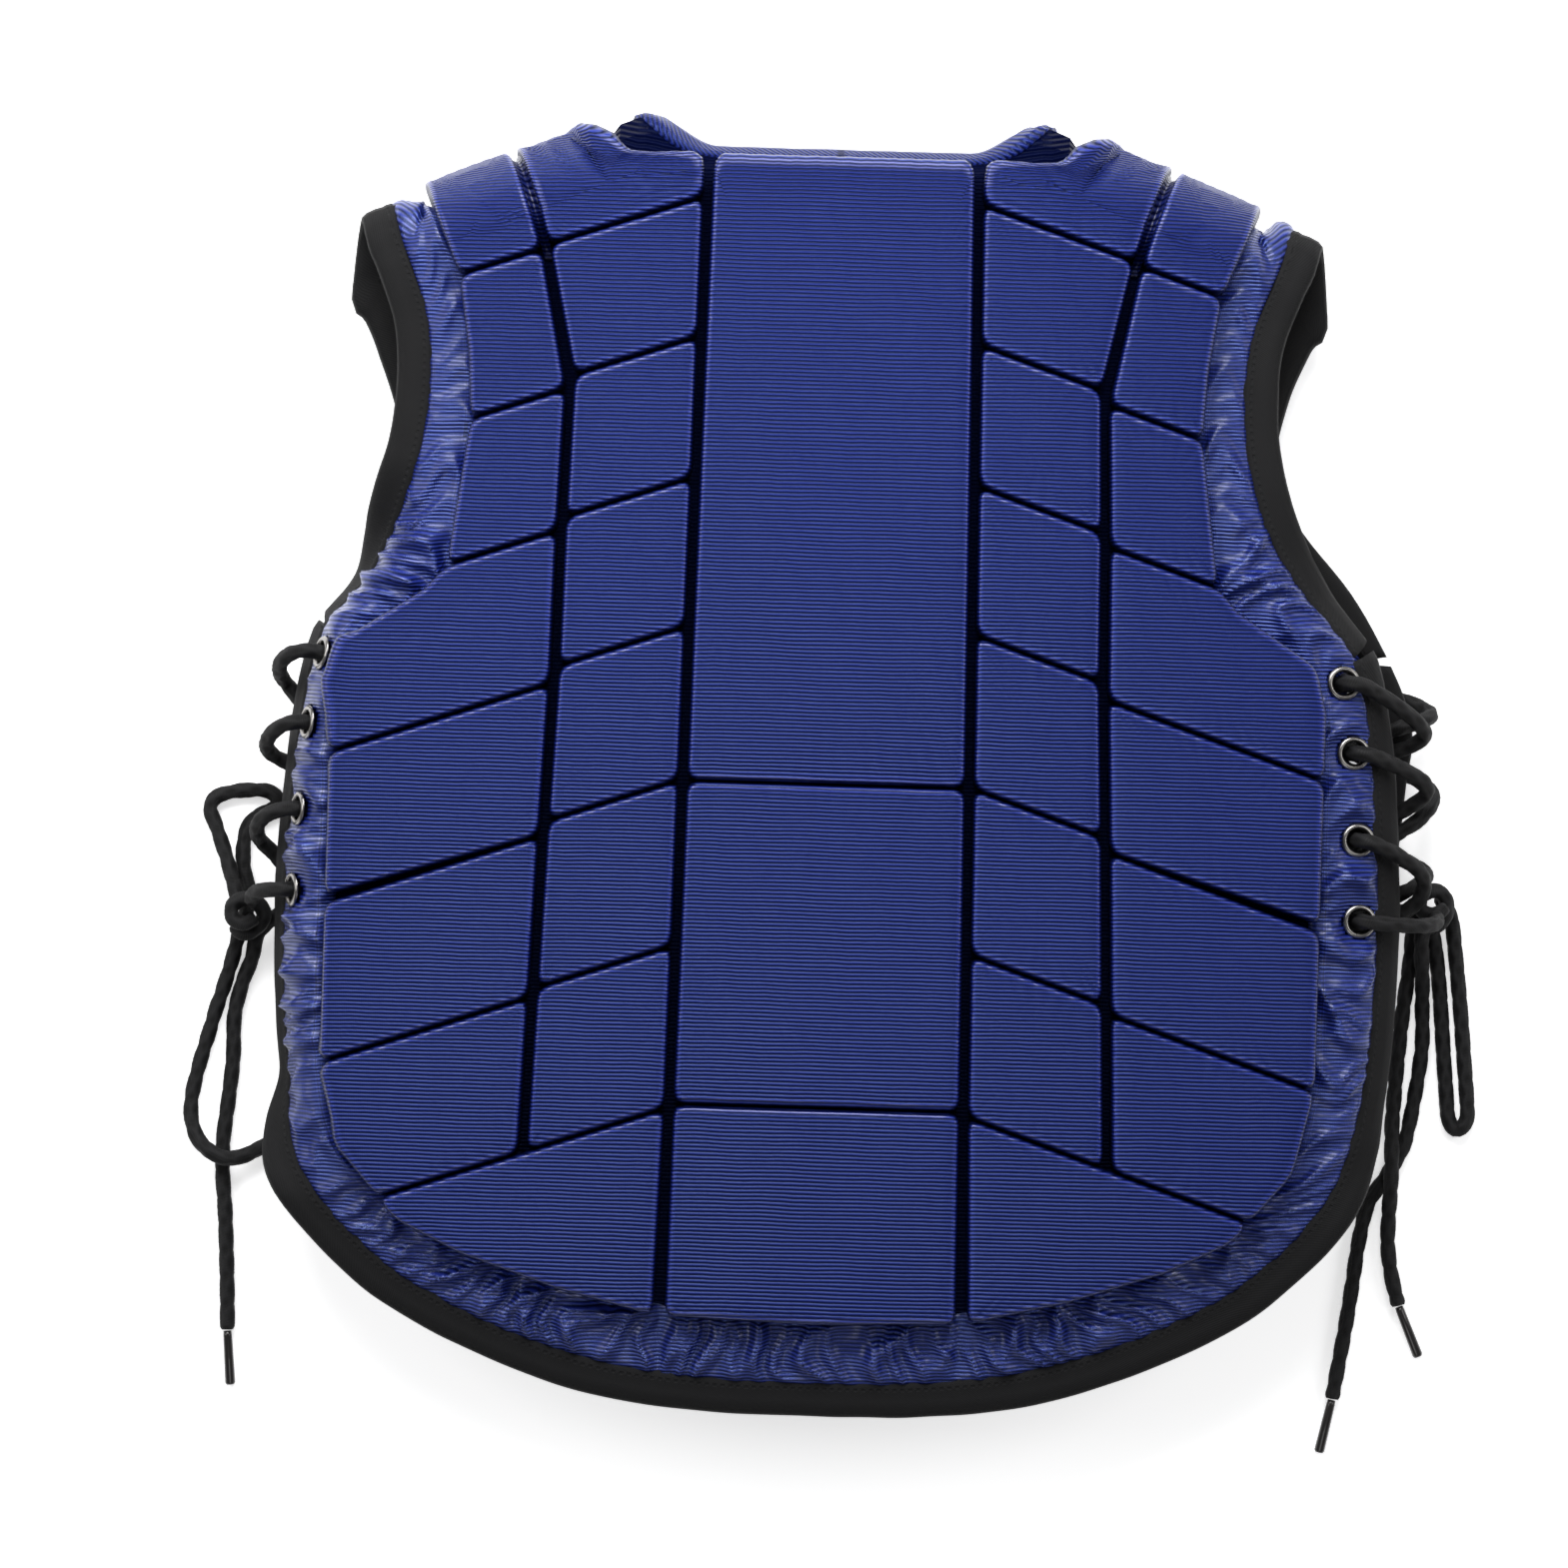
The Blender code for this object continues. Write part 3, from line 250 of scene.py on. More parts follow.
def make_satin(name, turn=0.0, gain=1.0, shine=0.45, gloss=0.0):
    """Ribbed satin whose ribs lie at a turn, in radians, from straight across."""
    material, shader, start = new_material(name, SATIN_LIT_CREST, 0.36)
    place, (across, along, depth) = cloth_place(start)
    wander = place.noise(WANDER_SCALE, 3.0) - 0.5
    course = along * math.cos(turn) + across * math.sin(turn) + wander * RIB_WANDER
    rib = (course * (math.tau / RIB_PITCH)).sine() * 0.5 + 0.5
    thread = (across * math.cos(turn) - along * math.sin(turn)) * (math.tau / THREAD_PITCH)
    weave = (thread + rib * 2.0).sine() * 0.5 + 0.5
    patch = place.noise(PATCH_SCALE, 2.0)
    # Painted shade: the colour darkens where the stored depth is small, in grooves, creases and down the
    # sides of blocks
    groove = depth.between(0.0, GROOVE_SHADE_DEPTH)
    # Painted highlight: a lighter band where the cloth turns over a block's top edge; the coat there is a
    # real gloss
    edge = depth.between(*EDGE_IN) * (1.0 - depth.between(*EDGE_OUT))
    shade = rib * (0.66 + 0.24 * patch) * (0.12 + 0.88 * groove) * (1.0 + EDGE_HIGHLIGHT_GAIN * edge)
    lit_crest_colour = tuple(gain * value for value in SATIN_LIT_CREST)
    feed(shader, "Base Color", (shade + weave * 0.04).tint(SATIN_VALLEY_SHADE, lit_crest_colour))
    feed(shader, "Roughness", 0.27 + 0.16 * patch)
    feed(shader, "Normal", bumped(rib + weave * 0.12, RIB_HEIGHT))
    feed(shader, "Coat Weight", rib * (EDGE_SHINE * edge + gloss))
    shader.inputs["Coat Roughness"].default_value = SATIN_COAT_ROUGHNESS
    shader.inputs["Specular IOR Level"].default_value = shine
    shader.inputs["Specular Tint"].default_value = SATIN_SHINE
    return material


satin = make_satin("ribbed_satin_cloth")
# A lit copy: crest colour 1.5 times brighter, a painted highlight for the gathered edge, plus a real
# gloss coat
satin_painted_bright = make_satin("ribbed_satin_gathered_painted_bright", gain=1.5, shine=1.0, gloss=0.75)
# A shaded copy: crest colour 0.4 times as bright, painted shade for cloth seen in the grooves
satin_painted_shade = make_satin("ribbed_satin_painted_groove_shade", gain=0.4, shine=0.05)
satin_bias = make_satin("ribbed_satin_bias", turn=0.75)

# %% [markdown]
# The binding tape is a matt black twill. Its thread grid is fine, and a row of stitches runs near
# its inner edge, where the tape is pulled down a little.

# %% Black tape
STITCH_PITCH = 0.0030
STITCH_LINE = 0.0022
TWILL_PITCH = 0.0009
TWILL_HEIGHT = 0.00018
TAPE_SHINE = 0.22
WEAR_SCALE = 60.0
TAPE_DARK = (0.0015, 0.0015, 0.0018)
TAPE_LIGHT = (0.0085, 0.0085, 0.0095)


def make_tape():
    material, shader, start = new_material("black_bias_tape", (0.005, 0.005, 0.005), 0.78)
    place, (run, side, _) = cloth_place(start)
    twill = ((run + side) * (math.tau / TWILL_PITCH)).sine() * 0.5 + 0.5
    wear = place.noise(WEAR_SCALE, 3.0)
    row = 1.0 - (side - STITCH_LINE).size().between(0.0002, 0.0008)
    stitch = row * (run * (math.tau / STITCH_PITCH)).sine().between(-0.5, 0.5)
    shade = twill * 0.35 + wear * 0.45 + stitch * 0.25
    feed(shader, "Base Color", shade.tint(TAPE_DARK, TAPE_LIGHT))
    feed(shader, "Roughness", 0.66 + 0.22 * wear)
    feed(shader, "Normal", bumped(twill * 0.4 + stitch * 1.5 - row * 1.2, TWILL_HEIGHT))
    shader.inputs["Specular IOR Level"].default_value = TAPE_SHINE
    return material


tape = make_tape()

# %% [markdown]
# The laces are braided from round bundles, which the mesh itself shows. The material adds the fine
# threads inside each bundle, and paints shade into the colour between the bundles, where the braid
# dips. Metal ends and eyelets have a dark, slightly brushed finish.

# %% Lace, aglet and eyelet finishes
LACE_THREAD_PITCH = 0.0006
LACE_THREAD_HEIGHT = 0.00008
LACE_SHINE = 0.25
LACE_DARK = (0.0005, 0.0005, 0.0006)
LACE_LIGHT = (0.0105, 0.0105, 0.0115)
SMEAR_SCALE = 160.0
SMEAR_HEIGHT = 0.00001


def make_lace_black():
    material, shader, start = new_material("black_braid", (0.006, 0.006, 0.006), 0.70)
    _, (run, turn, bundle) = cloth_place(start)
    threads = (run * (math.tau / LACE_THREAD_PITCH) + turn * 6.0).sine() * 0.5 + 0.5
    # Painted shade: the colour darkens where a bundle's height falls, in the dips between bundles
    shade = bundle * 0.75 + threads * 0.25
    feed(shader, "Base Color", shade.tint(LACE_DARK, LACE_LIGHT))
    feed(shader, "Roughness", 0.62 + 0.2 * threads)
    feed(shader, "Normal", bumped(threads, LACE_THREAD_HEIGHT))
    shader.inputs["Specular IOR Level"].default_value = LACE_SHINE
    return material


def make_metal(name, colour, roughness, metallic, coat):
    material, shader, start = new_material(name, colour, roughness, metallic)
    spot = start.node("ShaderNodeTexCoord", {}, {}, 3)
    smear = spot.noise(SMEAR_SCALE, 3.0)
    dull, bright = ([share * value for value in colour] for share in (0.8, 1.2))
    feed(shader, "Base Color", smear.tint(dull, bright))
    feed(shader, "Roughness", roughness - 0.08 + 0.2 * smear)
    feed(shader, "Normal", bumped(smear, SMEAR_HEIGHT))
    shader.inputs["Coat Weight"].default_value = coat
    return material


braid = make_lace_black()
nickel = make_metal("dark_nickel_metal", (0.27, 0.26, 0.25), 0.26, 1.0, 0.0)
film = make_metal("dark_aglet_film", (0.020, 0.018, 0.018), 0.30, 0.6, 0.5)

# %% [markdown]
# ## Laces
# Each lace goes from its knot down through the lowest eyelet, criss-crosses between the back and
# front edges up to the top one and comes back to the knot. The bow is a loop and the second tail.
# The routes are lists of places in millimetres, and a smooth curve runs through them.

# %% Lace routes
LACE_DIAMETER = 0.0062
LACE_ROUTES = {
    "lace_right": [
        (237.5, -50.5, 14.0), (238.6, -53.0, 24.0), (236.5, -54.8, 34.0), (230.0, -55.4, 42.0),
        (221.0, -55.1, 46.8), (214.0, -54.7, 50.0), (209.8, -54.4, 50.4), (207.6, -54.3, 47.3),
        (205.2, -54.3, 38.6), (206.0, -53.0, 33.0), (209.5, -50.6, 28.0),
        (217.0, -46.8, 25.8), (227.0, -42.0, 24.0), (233.5, -38.0, 19.5), (234.0, -34.8, 12.8),
        (227.5, -31.0, 8.3), (216.0, -26.8, 7.6), (207.0, -23.8, 8.4), (203.2, -23.1, 11.8),
        (202.6, -23.1, 16.5), (203.4, -22.6, 21.0), (208.5, -20.0, 24.6), (217.5, -14.8, 25.8),
        (226.5, -9.6, 27.2), (232.0, -5.0, 32.0), (231.5, -0.8, 38.5), (225.0, 3.4, 43.0),
        (216.0, 7.4, 46.4), (209.8, 9.6, 49.6), (205.6, 10.3, 50.3), (203.4, 10.4, 47.3),
        (201.0, 10.2, 38.6), (201.6, 11.4, 33.2), (205.3, 13.8, 28.2),
        (213.5, 17.6, 25.8), (224.0, 21.6, 24.0), (232.5, 24.6, 20.5), (234.5, 27.0, 13.6),
        (229.0, 30.2, 8.4), (217.5, 34.0, 7.6), (208.5, 36.6, 8.4), (204.6, 37.2, 11.8),
        (204.0, 37.2, 16.5), (203.0, 37.1, 21.5), (199.8, 36.8, 27.0), (196.4, 36.7, 33.0),
        (196.3, 36.8, 38.6), (198.7, 37.3, 47.3), (201.0, 37.4, 50.3),
        (205.3, 36.6, 49.8), (211.5, 33.6, 46.8), (220.0, 28.6, 43.6), (228.0, 22.6, 38.0),
        (231.0, 18.0, 31.0), (225.5, 13.6, 26.0), (216.5, 10.6, 24.2), (209.4, 9.5, 23.3),
        (206.2, 10.3, 19.6), (205.8, 10.3, 13.0), (208.0, 9.6, 8.4), (216.0, 7.0, 7.4),
        (226.5, 3.0, 8.6), (234.5, -2.0, 12.0), (236.0, -7.0, 18.0), (231.5, -13.6, 22.6),
        (222.5, -20.0, 24.8), (212.5, -24.8, 27.0), (206.0, -25.4, 30.6), (203.4, -23.9, 35.0),
        (204.9, -23.1, 45.2), (206.4, -23.1, 49.0), (209.5, -23.6, 51.0),
        (214.5, -25.4, 49.4), (221.5, -28.6, 45.4), (229.0, -33.4, 40.0), (232.5, -39.0, 33.6),
        (231.0, -45.6, 28.6), (224.5, -51.2, 25.6), (215.5, -55.2, 24.0), (207.0, -55.4, 23.4),
        (202.3, -54.4, 20.4), (201.5, -54.3, 14.4), (203.6, -54.2, 8.6), (211.5, -53.6, 7.4),
        (223.0, -51.6, 8.4), (229.4, -50.2, 9.2), (231.2, -55.0, 7.2), (230.8, -61.5, 4.6),
        (230.2, -72.0, 3.3), (228.2, -89.0, 3.3), (226.8, -106.0, 3.3), (225.8, -122.0, 3.3),
        (225.1, -134.2, 5.2), (225.0, -143.0, 8.6), (225.0, -151.0, 10.2), (225.0, -159.0, 9.0),
        (224.9, -169.0, 4.8), (225.0, -181.0, 3.3), (226.8, -193.0, 3.3),
        (229.9, -204.4, 3.3),
    ],
    "lace_right_bow": [
        (240.5, -44.5, 8.0), (245.5, -52.0, 5.5), (247.6, -63.8, 3.5), (249.3, -77.0, 3.3),
        (250.9, -91.0, 3.3), (252.5, -107.0, 3.3), (254.1, -123.0, 3.3), (254.3, -131.0, 3.3),
        (250.7, -135.4, 3.3), (247.2, -131.0, 3.3), (246.0, -121.0, 3.3), (244.6, -107.0, 3.3),
        (243.2, -91.0, 3.3), (241.8, -77.0, 3.3), (239.8, -64.0, 5.3), (237.4, -57.2, 9.4),
        (234.2, -58.2, 13.4), (234.0, -66.0, 11.4), (235.0, -76.0, 8.0), (235.6, -88.0, 3.8),
        (236.0, -103.0, 3.3), (233.8, -122.0, 3.3), (230.0, -141.8, 3.2), (223.5, -154.0, 3.2),
        (216.8, -165.3, 3.2), (213.6, -180.0, 3.3), (211.6, -196.6, 3.3), (209.6, -212.0, 3.3),
        (207.3, -227.0, 3.3), (205.0, -241.6, 3.3),
    ],
    "lace_left": [
        (-220.0, -60.5, 15.0), (-221.2, -58.6, 23.5), (-219.5, -56.2, 32.0), (-215.5, -55.0, 38.5),
        (-210.5, -54.5, 41.4), (-206.2, -54.3, 41.0), (-199.6, -54.1, 38.0),
        (-194.0, -53.4, 34.6), (-191.6, -51.6, 29.6), (-193.2, -48.6, 24.0), (-196.5, -45.0, 18.4),
        (-196.8, -41.0, 12.6), (-192.0, -36.5, 8.6), (-183.5, -30.5, 7.6), (-176.0, -25.0, 8.2),
        (-172.8, -23.2, 11.6), (-172.2, -23.1, 16.5), (-173.0, -22.6, 21.4), (-179.5, -19.5, 24.0),
        (-188.5, -15.0, 23.4), (-197.5, -10.5, 17.6), (-206.0, -6.8, 14.2), (-213.5, -3.6, 16.4),
        (-216.8, -0.4, 23.0), (-216.5, 3.0, 31.0), (-213.5, 6.6, 38.2), (-208.8, 9.4, 41.6),
        (-203.6, 10.4, 41.4), (-196.2, 10.1, 38.2), (-190.8, 10.6, 34.8),
        (-188.2, 12.8, 30.0), (-190.6, 17.6, 25.0), (-196.6, 21.2, 19.2), (-199.2, 24.0, 13.6),
        (-195.0, 27.0, 8.8), (-186.0, 31.4, 7.6), (-177.6, 35.8, 8.4), (-173.9, 37.2, 11.8),
        (-173.2, 37.2, 16.5), (-173.8, 37.0, 21.6), (-177.6, 36.3, 27.6), (-183.4, 35.8, 33.0),
        (-189.6, 36.3, 37.1), (-197.0, 37.5, 40.4), (-202.4, 37.9, 42.0),
        (-207.8, 36.6, 40.8), (-211.6, 33.6, 35.6), (-212.8, 30.6, 28.6), (-212.4, 28.0, 21.0),
        (-209.6, 24.0, 15.4), (-203.4, 16.8, 15.0), (-198.6, 13.4, 18.4), (-194.0, 10.6, 22.2),
        (-186.5, 9.6, 24.4), (-178.0, 10.2, 25.4), (-174.5, 10.3, 21.4), (-174.3, 10.3, 13.6),
        (-176.6, 9.6, 8.4), (-184.5, 7.0, 7.4), (-193.5, 3.4, 8.8), (-198.6, -0.6, 13.4),
        (-197.6, -2.8, 19.6), (-194.0, -6.2, 25.6), (-190.0, -12.5, 30.6), (-188.6, -18.6, 33.4),
        (-190.6, -22.8, 35.2), (-196.4, -23.5, 37.2), (-204.0, -23.1, 40.7),
        (-209.2, -23.6, 42.2), (-214.6, -25.6, 41.0), (-218.6, -29.0, 35.6), (-219.6, -32.6, 28.0),
        (-218.6, -36.0, 20.6), (-214.0, -40.6, 15.4), (-208.5, -46.5, 15.0), (-202.0, -51.6, 17.4),
        (-194.5, -55.6, 21.8), (-186.0, -56.6, 23.8), (-176.0, -55.0, 25.6), (-171.8, -54.4, 21.6),
        (-171.4, -54.3, 14.0), (-173.4, -54.4, 8.4), (-181.0, -55.2, 7.4), (-192.0, -57.2, 8.0),
        (-203.5, -60.5, 9.0), (-213.0, -65.5, 9.2), (-219.6, -73.0, 7.2), (-221.6, -82.0, 4.6),
        (-225.2, -92.0, 3.3), (-227.9, -105.0, 3.3), (-227.9, -121.0, 3.3), (-229.2, -137.0, 3.3),
        (-230.8, -153.0, 3.2), (-230.7, -166.0, 3.2), (-229.3, -181.0, 3.3), (-228.3, -197.0, 3.3),
        (-227.5, -213.0, 3.3), (-227.0, -227.4, 3.3),
    ],
    "lace_left_bow": [
        (-226.5, -62.0, 12.0), (-229.5, -53.0, 9.0), (-232.5, -43.6, 6.0), (-237.2, -31.0, 3.8),
        (-239.8, -24.5, 3.3), (-237.8, -19.9, 3.3), (-232.0, -17.6, 3.3), (-224.5, -16.6, 3.3),
        (-217.5, -16.8, 3.4), (-213.4, -20.0, 3.6), (-215.6, -24.0, 3.8), (-221.2, -26.6, 3.8),
        (-225.0, -31.4, 3.8), (-226.4, -39.5, 4.0), (-225.6, -48.5, 4.0), (-223.4, -57.5, 4.8),
        (-224.8, -66.0, 6.0), (-227.2, -74.0, 6.0), (-229.2, -82.4, 5.0), (-232.4, -93.6, 3.6),
        (-235.2, -102.5, 3.3), (-237.6, -111.5, 3.3), (-241.0, -124.0, 3.3), (-243.6, -137.1, 3.6),
        (-243.2, -146.4, 5.2), (-239.4, -154.4, 8.2), (-231.4, -159.8, 10.2), (-223.4, -159.6, 7.8),
        (-216.0, -156.0, 4.6), (-209.4, -153.0, 3.4), (-205.0, -153.7, 3.3), (-202.6, -155.5, 3.3),
    ],
}


def between(before, start, end, after, t):
    """Point at the share t between start and end on a smooth curve."""
    return tuple(
        b + 0.5 * ((c - a) * t + (2 * a - 5 * b + 4 * c - d) * t * t + (3 * b - a - 3 * c + d) * t ** 3)
        for a, b, c, d in zip(before, start, end, after)
    )


def curve_through(rows, step):
    """Points a step apart on a smooth curve through the rows."""
    ends = [rows[0]] + list(rows) + [rows[-1]]
    dense = []
    for before, start, end, after in zip(ends, ends[1:], ends[2:], ends[3:]):
        count = max(2, round(math.dist(start, end) / step * 2))
        dense += [Vector(between(before, start, end, after, index / count)) for index in range(count)]
    dense.append(Vector(rows[-1]))
    return evenly(dense, step)


def evenly(dense, step):
    """The same line with its points a step apart."""
    lengths = [0.0]
    for start, end in zip(dense, dense[1:]):
        lengths.append(lengths[-1] + (end - start).length)
    count = max(2, round(lengths[-1] / step))
    points = []
    index = 0
    for number in range(count + 1):
        target = lengths[-1] * number / count
        while index < len(dense) - 2 and lengths[index + 1] < target:
            index += 1
        part = (target - lengths[index]) / max(1e-9, lengths[index + 1] - lengths[index])
        points.append(dense[index].lerp(dense[index + 1], min(1.0, part)))
    return points


# %% [markdown]
# A braid is drawn as a tube whose radius rises over each bundle. Bundles run both ways round the
# lace, so the height is the larger of two waves that cross each other.

# %% Braided tube
TUBE_SIDES = 20
TUBE_STEP = 0.0011
BRAID_LENGTH = 0.0105
BUNDLES = 4
BRAID_DEPTH = 0.00062
END_SHARE = 0.80
TAPER_LENGTH = 0.006


def frames_along(points):
    """A tangent and two steady sideways directions at each point."""
    tangents = []
    for index in range(len(points)):
        before = points[max(0, index - 1)]
        after = points[min(len(points) - 1, index + 1)]
        tangents.append((after - before).normalized())
    side = tangents[0].orthogonal().normalized()
    frames = []
    for tangent in tangents:
        side = (side - tangent * side.dot(tangent)).normalized()
        frames.append((tangent, side, tangent.cross(side)))
    return frames


def braid_tube(name, points, diameter):
    """A closed tube with a braided surface along the points."""
    rows, places = [], []
    step = (points[1] - points[0]).length
    for index, (point, (tangent, side, over)) in enumerate(zip(points, frames_along(points))):
        run = index * step
        from_end = min(index, len(points) - 1 - index) * step
        taper = min(1.0, END_SHARE + from_end / TAPER_LENGTH)
        for corner in range(TUBE_SIDES):
            turn = math.tau * corner / TUBE_SIDES
            one = math.cos(BUNDLES * turn + math.tau * run / BRAID_LENGTH)
            other = math.cos(BUNDLES * turn - math.tau * run / BRAID_LENGTH)
            bundle = 0.5 + 0.5 * (max(one, other) if one * other < 0 else 0.5 * (one + other))
            radius = (diameter / 2 - BRAID_DEPTH * (1.0 - bundle)) * taper
            rows.append(point + radius * (math.cos(turn) * side + math.sin(turn) * over))
            places.append((run, turn, bundle))
    count = len(points)
    faces = ring_faces(count, TUBE_SIDES)
    for end, ring in ((0, 0), (1, count - 1)):
        centre = len(rows)
        rows.append(points[-1 if end else 0].copy())
        places.append((0.0, 0.0, 0.5))
        for corner in range(TUBE_SIDES):
            after = (corner + 1) % TUBE_SIDES
            faces.append((ring * TUBE_SIDES + corner, ring * TUBE_SIDES + after, centre))
    tube = mesh_object(name, rows, faces, places)
    turn_outwards(tube)
    return tube


def placed(row):
    """The place in the frame of a row of a route, which is in millimetres from the spine."""
    return Vector(row) / 1000 - BOX_MIDDLE


def line_length(points):
    return sum((end - start).length for start, end in zip(points, points[1:]))


laces = {}
for name, rows in LACE_ROUTES.items():
    line = curve_through([placed(row) for row in rows], TUBE_STEP)
    tube = braid_tube(f"braided_{name}", line, LACE_DIAMETER)
    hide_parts(name)
    finish_piece(tube, braid)
    laces[name] = (tube, line)
    print(name, round(line_length(line), 3), "m")

# %% [markdown]
# ## Aglets
# The end of each lace is pressed into a short dark sleeve. It starts as a cylinder, its two ends
# are narrowed, and one loop near the lace is drawn in where the sleeve grips the braid.

# %% Aglets
AGLET_DIAMETER = 0.0040
AGLET_SIDES = 28
# Shares of the sleeve's length from its middle, and of its width
GRIP_PLACE = -0.42
GRIP_END = -0.38
TIP_START = 0.46
TIP_PLACE = 0.49
GRIP_SHARE = 0.86
TIP_SHARE = 0.78
AGLET_PLACES = {
    "aglet_right_1": ((230.05, -204.9, 3.2), (238.3, -224.2, 2.1)),
    "aglet_right_2": ((204.9, -242.1, 3.2), (200.6, -262.7, 2.1)),
    "aglet_left_1": ((-226.97, -227.95, 3.2), (-225.3, -248.9, 2.1)),
    "aglet_left_2": ((-202.2, -155.8, 3.2), (-185.4, -168.4, 2.1)),
}


def make_aglet_shape():
    """One sleeve along Z, a metre unit long, whose length is set when it is placed."""
    deselect()
    bpy.ops.mesh.primitive_cylinder_add(vertices=AGLET_SIDES, radius=AGLET_DIAMETER / 2, depth=1.0)
    shape = bpy.context.object
    bpy.ops.object.mode_set(mode="EDIT")
    bpy.ops.mesh.select_all(action="SELECT")
    bpy.ops.mesh.bisect(plane_co=(0, 0, GRIP_PLACE), plane_no=(0, 0, 1))
    bpy.ops.transform.resize(value=(GRIP_SHARE, GRIP_SHARE, 1.0))
    bpy.ops.mesh.select_all(action="SELECT")
    bpy.ops.mesh.bisect(plane_co=(0, 0, GRIP_END), plane_no=(0, 0, 1))
    bpy.ops.mesh.select_all(action="SELECT")
    bpy.ops.mesh.bisect(plane_co=(0, 0, TIP_START), plane_no=(0, 0, 1))
    bpy.ops.object.mode_set(mode="OBJECT")
    for point in shape.data.vertices:
        if abs(point.co.z) > TIP_PLACE:
            point.co.x *= TIP_SHARE
            point.co.y *= TIP_SHARE
    return shape


def place_aglet(shape, name, start, end):
    """A copy of the sleeve between two points."""
    data = shape.data.copy()
    axis = end - start
    turn = Vector((0, 0, 1)).rotation_difference(axis.normalized()).to_matrix().to_4x4()
    size = Matrix.Diagonal((1.0, 1.0, axis.length, 1.0))
    data.transform(Matrix.Translation((start + end) / 2) @ turn @ size)
    data.shade_smooth()
    piece = bpy.data.objects.new(f"sleeve_{name}", data)
    bpy.context.scene.collection.objects.link(piece)
    return piece


aglet_shape = make_aglet_shape()
for name, (first, last) in AGLET_PLACES.items():
    start, end = placed(first), placed(last)
    sleeve = place_aglet(aglet_shape, name, start, end)
    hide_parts(name)
    finish_piece(sleeve, film)
bpy.data.objects.remove(aglet_shape)

# %% [markdown]
# ## Knots
# Each lace is tied in a bow. The knot is a turn and a half of the same braid, drawn tight round
# the strands where they meet.

# %% Knots
KNOT_TURNS = {
    "knot_right": [
        (234.8, -53.4, 11.6), (238.4, -56.0, 14.2), (242.4, -52.6, 13.0), (243.4, -47.0, 11.2),
        (240.6, -42.6, 13.2), (236.0, -42.2, 16.2), (232.4, -45.2, 16.4), (233.4, -50.0, 17.6),
        (238.0, -51.2, 19.6), (242.2, -48.4, 17.8),
    ],
    "knot_left": [
        (-228.6, -69.6, 11.4), (-224.6, -72.4, 13.4), (-219.6, -70.2, 13.8), (-216.8, -65.0, 14.6),
        (-219.2, -60.4, 17.8), (-224.6, -58.8, 18.4), (-229.0, -61.8, 17.4), (-228.6, -66.6, 17.8),
        (-224.0, -68.4, 19.4), (-219.8, -66.0, 18.6),
    ],
}
for name, rows in KNOT_TURNS.items():
    line = curve_through([placed(row) for row in rows], TUBE_STEP)
    knot = braid_tube(name, line, LACE_DIAMETER)
    finish_piece(knot, braid)

# %% [markdown]
# The length of each lace and every third point of its line are worked out here, but nothing is
# done with them.

for side in ("right", "left"):
    tube, line = laces[f"lace_{side}"]
    line_length(line)
    line[::3] + [line[-1]]
    tube, line = laces[f"lace_{side}_bow"]
    line_length(line)
    line[::3] + [line[-1]]

# %% [markdown]
# ## The form under the cloth
# Every cloth piece is drawn flat on the opened-out pattern and then laid over the form. Across is
# measured from the spine, along from the middle of the back, and rise outwards from the cloth.

# %% Sizes of the form
HALF_WIDTH = 0.223
HALF_LENGTH = 0.2512
FOAM_THICKNESS = 0.0147
SEAT_GAP = 0.0006
FOLD_RADIUS = 0.013
NECK_CREST = 0.224
NECK_HALF_WIDTH = 0.080
SHOULDER_SLOPE = 0.40
BACK_ARCH = 0.0082
BACK_ARCH_LENGTH = 0.200
HEM_DROP = 0.005
HEM_DROP_START = -0.100
CROWN_RISE = 0.012
BINDING_WIDTH = 0.013
NECK_BINDING_WIDTH = 0.010
GROOVE_WIDTH = 0.0032
CREASE_WIDTH = 0.0007
CREASE_SLOPE = 0.34
BLOCK_CORNER = 0.0040
EYELET_INSET = 0.0072
EYELET_BARREL = 0.0050
EYELET_GAP = 0.00045
JOIN_GAP = 0.0003

# Sizes worked out from them
PAD_RISE = SEAT_GAP + FOAM_THICKNESS
FRONT_LEVEL = PAD_RISE
CREST_LEVEL = FRONT_LEVEL + 2 * FOLD_RADIUS
FOLD_LENGTH = math.pi * FOLD_RADIUS
FOLD_STEPS = 14
STATION_STEP = 0.004
LAY_STEP = 0.0004

# How each side of the laid vest lies: the curl of the back panel's laced edge in radians, the band
# that bends down and the part of it that turns, the sag of the back towards that side, and how far
# the lacing draws in the front panel's edge
SIDES = {
    -1: {"curl": 1.15, "band": 0.034, "turn": 0.014, "sag": 0.003, "draw": 0.034},
    1: {"curl": 0.90, "band": 0.026, "turn": 0.026, "sag": 0.003, "draw": 0.0},
}
CURL_TOP = 0.060
CURL_BOTTOM = -0.175
CURL_FADE = 0.055
LEAST_CURL = 0.01

# The lacing draws the front's edge in: from where across, between which alongs
DRAW_START = 0.55
DRAW_BOTTOM = -0.090
DRAW_TOP = 0.050
DRAW_END = 0.150

# Where the cloth bridges beside the foam on the shoulder fold, as shares of HALF_WIDTH: from and
# to its full rise by the neck, from its full rise and to none there, and the same by the arm
CROWN_SHARES = [0.220, 0.345, 0.390, 0.440, 0.720, 0.770]

